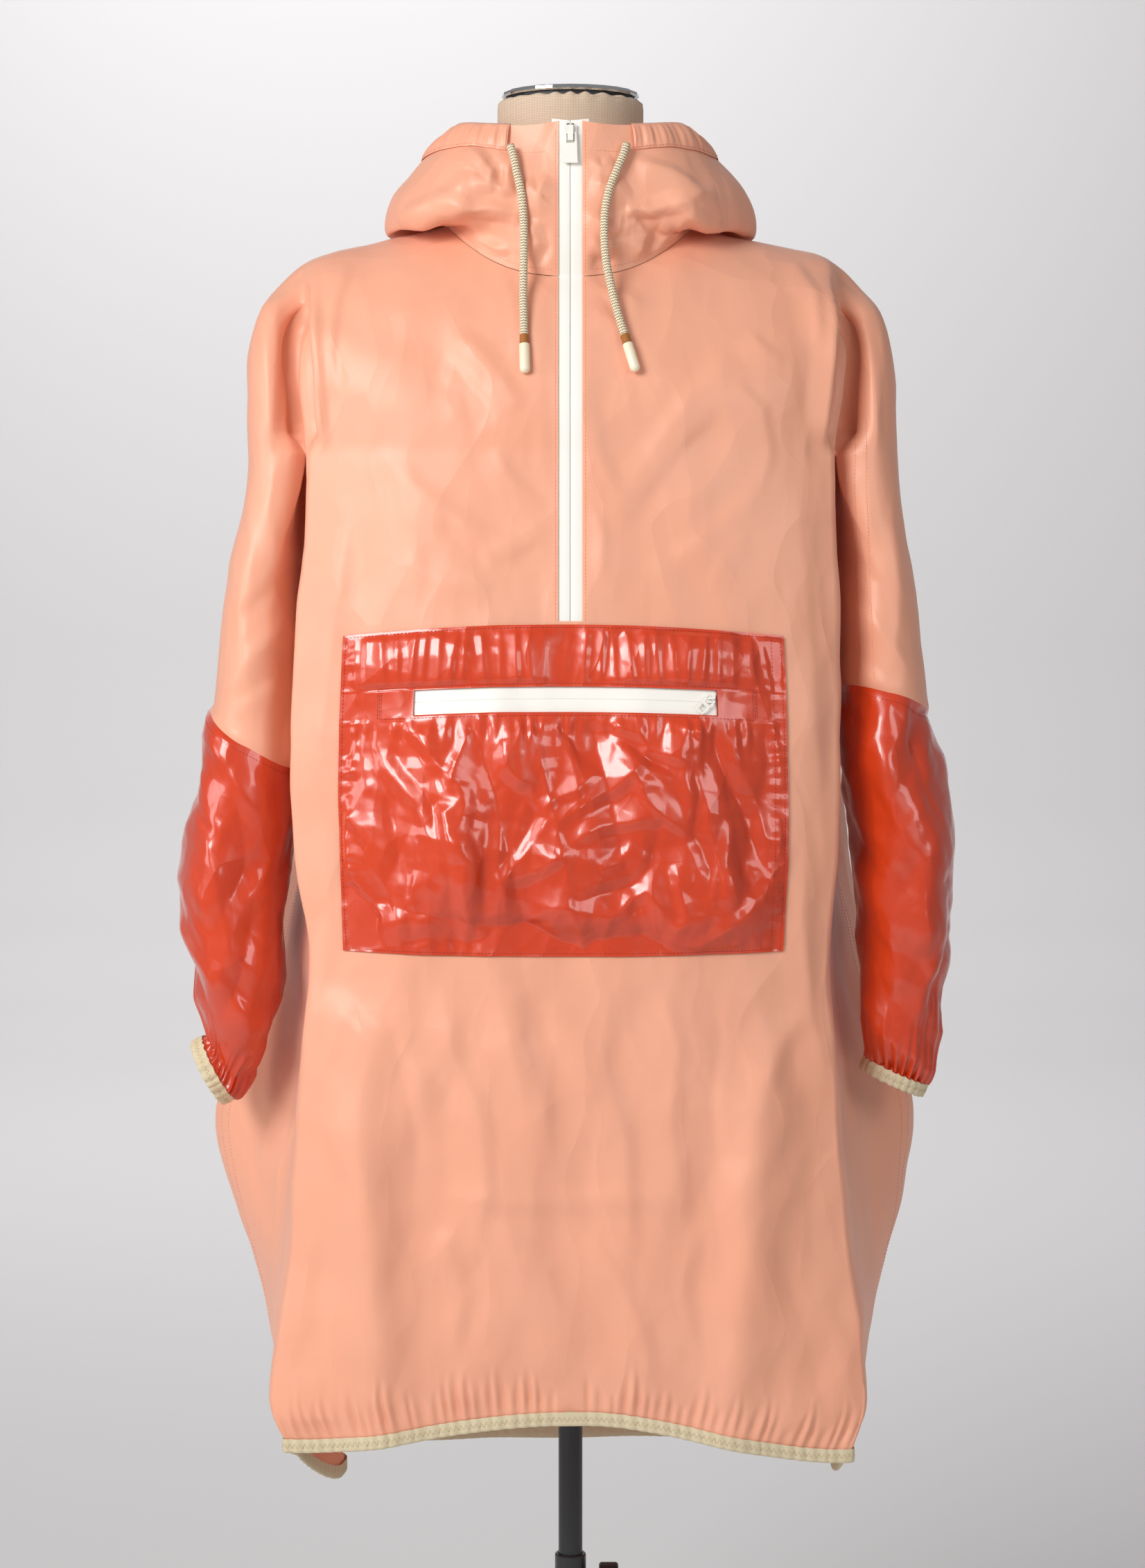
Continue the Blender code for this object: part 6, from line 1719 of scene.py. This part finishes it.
seam("window_seam", *on_pocket(frame_line), red_thread, thread=0.00048)
for k, place in enumerate((29.6, 32.4, 318.4, 321.4)):
    seam(f"window_tack_{k}", *on_pocket([(place, d) for d in np.linspace(low, high, 12)]),
         red_thread, pitch=0.0016, thread=0.0005)

# %% Seams of the hood, the sleeves and the sides
hood_out = normals_of(hood_points, all_hood)
shell_out = normals_of(shell_points, every_face)
for side, name in ((1, "right"), (-1, "left")):
    rows = hood_grid[side][:, 4:]
    seam("neck_seam_" + name, hood_points[rows[3]], hood_out[rows[3]], peach_thread)
    edge = hood_grid[side][foot_row, 10 : mouth + 2]
    seam("collar_seam_" + name, hood_points[edge], hood_out[edge], peach_thread)
    line = casing_lines[side][1]
    seam("casing_seam_" + name, line + hood_out[hood_grid[side][foot_row, mouth:]] * 0.0002,
         hood_out[hood_grid[side][foot_row, mouth:]], peach_thread)
    line = casing_lines[side][:, 1]
    seam("slit_seam_" + name, line, hood_out[hood_grid[side][foot_row:, mouth]], peach_thread,
         pitch=0.0018)
    rows = elbow_second[side]
    seam("elbow_seam_" + name, shell_points[rows], shell_out[rows], red_thread)
    for k, shift in enumerate((-3, 1)):
        line = shell_points[side_columns[side][shift]]
        seam(f"side_seam_{name}_{k}", line, shell_out[side_columns[side][shift]], peach_thread)
    ring = np.array(cuff_lines[side][9])
    away = np.gradient(ring, axis=0)
    out = np.cross(away, np.array(cuff_away(side)))
    out *= np.sign(((ring - ring.mean(axis=0)) * out).sum())
    out /= np.linalg.norm(out, axis=1)[:, None]
    seam("cuff_zigzag_" + name, ring, out, cream_thread, pitch=0.0019, thread=0.0004, zigzag=0.0042)
ring = np.array(hem_lines[9])
out = np.cross(np.gradient(ring, axis=0), [0.0, 0.0, -1.0])
out *= np.sign(((ring - ring.mean(axis=0)) * out).sum())
out /= np.linalg.norm(out, axis=1)[:, None]
seam("hem_zigzag", ring, out, cream_thread, pitch=0.0021, thread=0.0004, zigzag=0.0046)
arm_seam = [(228, 1330), (227, 1273), (230, 1218), (232, 1163), (234, 1116)]
places = np.array(arm_seam) / 1000.0
z_steps = np.linspace(1.326, 1.118, 70)
for k, shift in enumerate((0.0, 0.0085)):
    xs = np.interp(-z_steps, -places[:, 1], places[:, 0]) + shift
    line, out = on_front(trees["front"], list(zip(xs, z_steps)))
    seam(f"underarm_seam_{k}", line, out, peach_thread)

# %% [markdown]
# ## The linen neck
# The neck's linen is drawn over the top edge and gathered under the chrome rim, so its edge waves.

# %% Neck linen
steps = 220
turn = np.linspace(0, 2 * np.pi, steps, endpoint=False)
waves = np.cos(24 * turn + 1.2 * np.sin(5 * turn)) * (0.6 + 0.4 * np.sin(3 * turn + 1.0))
profile = [(0.0594, 1.4990, 0.0), (0.0594, 1.5400, 0.0), (0.0594, 1.5700, 0.05), (0.0594, 1.5785, 0.15),
           (0.0590, 1.5815, 0.35), (0.0581, 1.5838, 0.7), (0.0568, 1.5850, 1.0), (0.0550, 1.5856, 1.0),
           (0.0525, 1.5858, 0.8)]
rows = []
for r, height, wavy in profile:
    radius = r + 0.0007 * wavy * waves
    rows.append(np.stack([radius * np.sin(turn), -radius * np.cos(turn),
                          height + 0.0011 * wavy * waves], axis=1))
neck_linen = make_mesh("neck_linen", np.concatenate(rows), tube_faces(len(rows), steps)[:, ::-1], linen)
print("neck linen", round(float(np.concatenate(rows)[:, 2].max()), 4))

# %% [markdown]
# ## Top stops of the zip
# Two small moulded stops close the top of the zip, one on each tape, just above the slider.

# %% Top stops
box_low, box_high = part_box("zip_slider")
for side, name in ((1, "right"), (-1, "left")):
    corners = []
    for up in (0.0, 1.0):
        for x, y in ((-1, 0), (1, 0), (1, 1), (-1, 1)):
            corners.append((0.0018 * side + 0.0011 * x, box_high[1] - 0.0030 + 0.0016 * y,
                            box_high[2] - 0.0012 + 0.0026 * up))
    faces = [(3, 2, 1, 0), (4, 5, 6, 7), (0, 1, 5, 4), (1, 2, 6, 5), (2, 3, 7, 6), (3, 0, 4, 7)]
    make_mesh("zip_stop_" + name, np.array(corners), np.array(faces), grey_stop, smooth=False)
print("stops at", round(box_high[2], 4))

# %% [markdown]
# ## The cloth's cuts
# Each cloth piece is a flat cut that was sewn, gathered or folded, so each is listed with the width
# and length of its cut and with what holds it. The front and the back are each one wide cut with the
# upper sleeve in it, which is why they are as wide as the arms reach. A tube is cut as its whole round.

# %% Cuts of the cloth, listed and printed
CUTS = [  # piece, (width, length) of the cut, its area where it isn't a rectangle, how it is held, what holds it
    (shell_objects["front"], (1.02, 0.98), 0.800, "hung", "form_torso"),
    (shell_objects["back"], (1.02, 0.98), 0.800, "hung", "form_torso"),
    (shell_objects["sleeve_left"], (0.36, 0.31), 0.095, "gathered", "front_cloth"),
    (shell_objects["sleeve_right"], (0.38, 0.32), 0.106, "gathered", "front_cloth"),
    (hood_objects["hood_right"], (0.30, 0.34), 0.078, "gathered", "back_cloth"),
    (hood_objects["hood_left"], (0.30, 0.34), 0.080, "gathered", "back_cloth"),
    (casing_object, (0.045, 0.62), None, "gathered", "hood_right_cloth"),
    (hem_band, (0.022, 1.75), None, "stretched", "front_cloth"),
    (cuff_bands[1], (0.022, 0.21), None, "stretched", "sleeve_right_cloth"),
    (cuff_bands[-1], (0.022, 0.21), None, "stretched", "sleeve_left_cloth"),
    (tapes[1], (0.015, 0.415), None, "stretched", "front_cloth"),
    (tapes[-1], (0.015, 0.415), None, "stretched", "front_cloth"),
    (pocket_cloth, (0.362, 0.268), None, "gathered", "front_cloth"),
    (pocket_tape, (0.028, 0.265), None, "stretched", "pocket_cloth"),
    (neck_linen, (0.38, 0.095), None, "stretched", "form_torso"),
]
for piece, flat, area, held, holder in CUTS:
    print(piece.name, "cut", flat, "held", held)
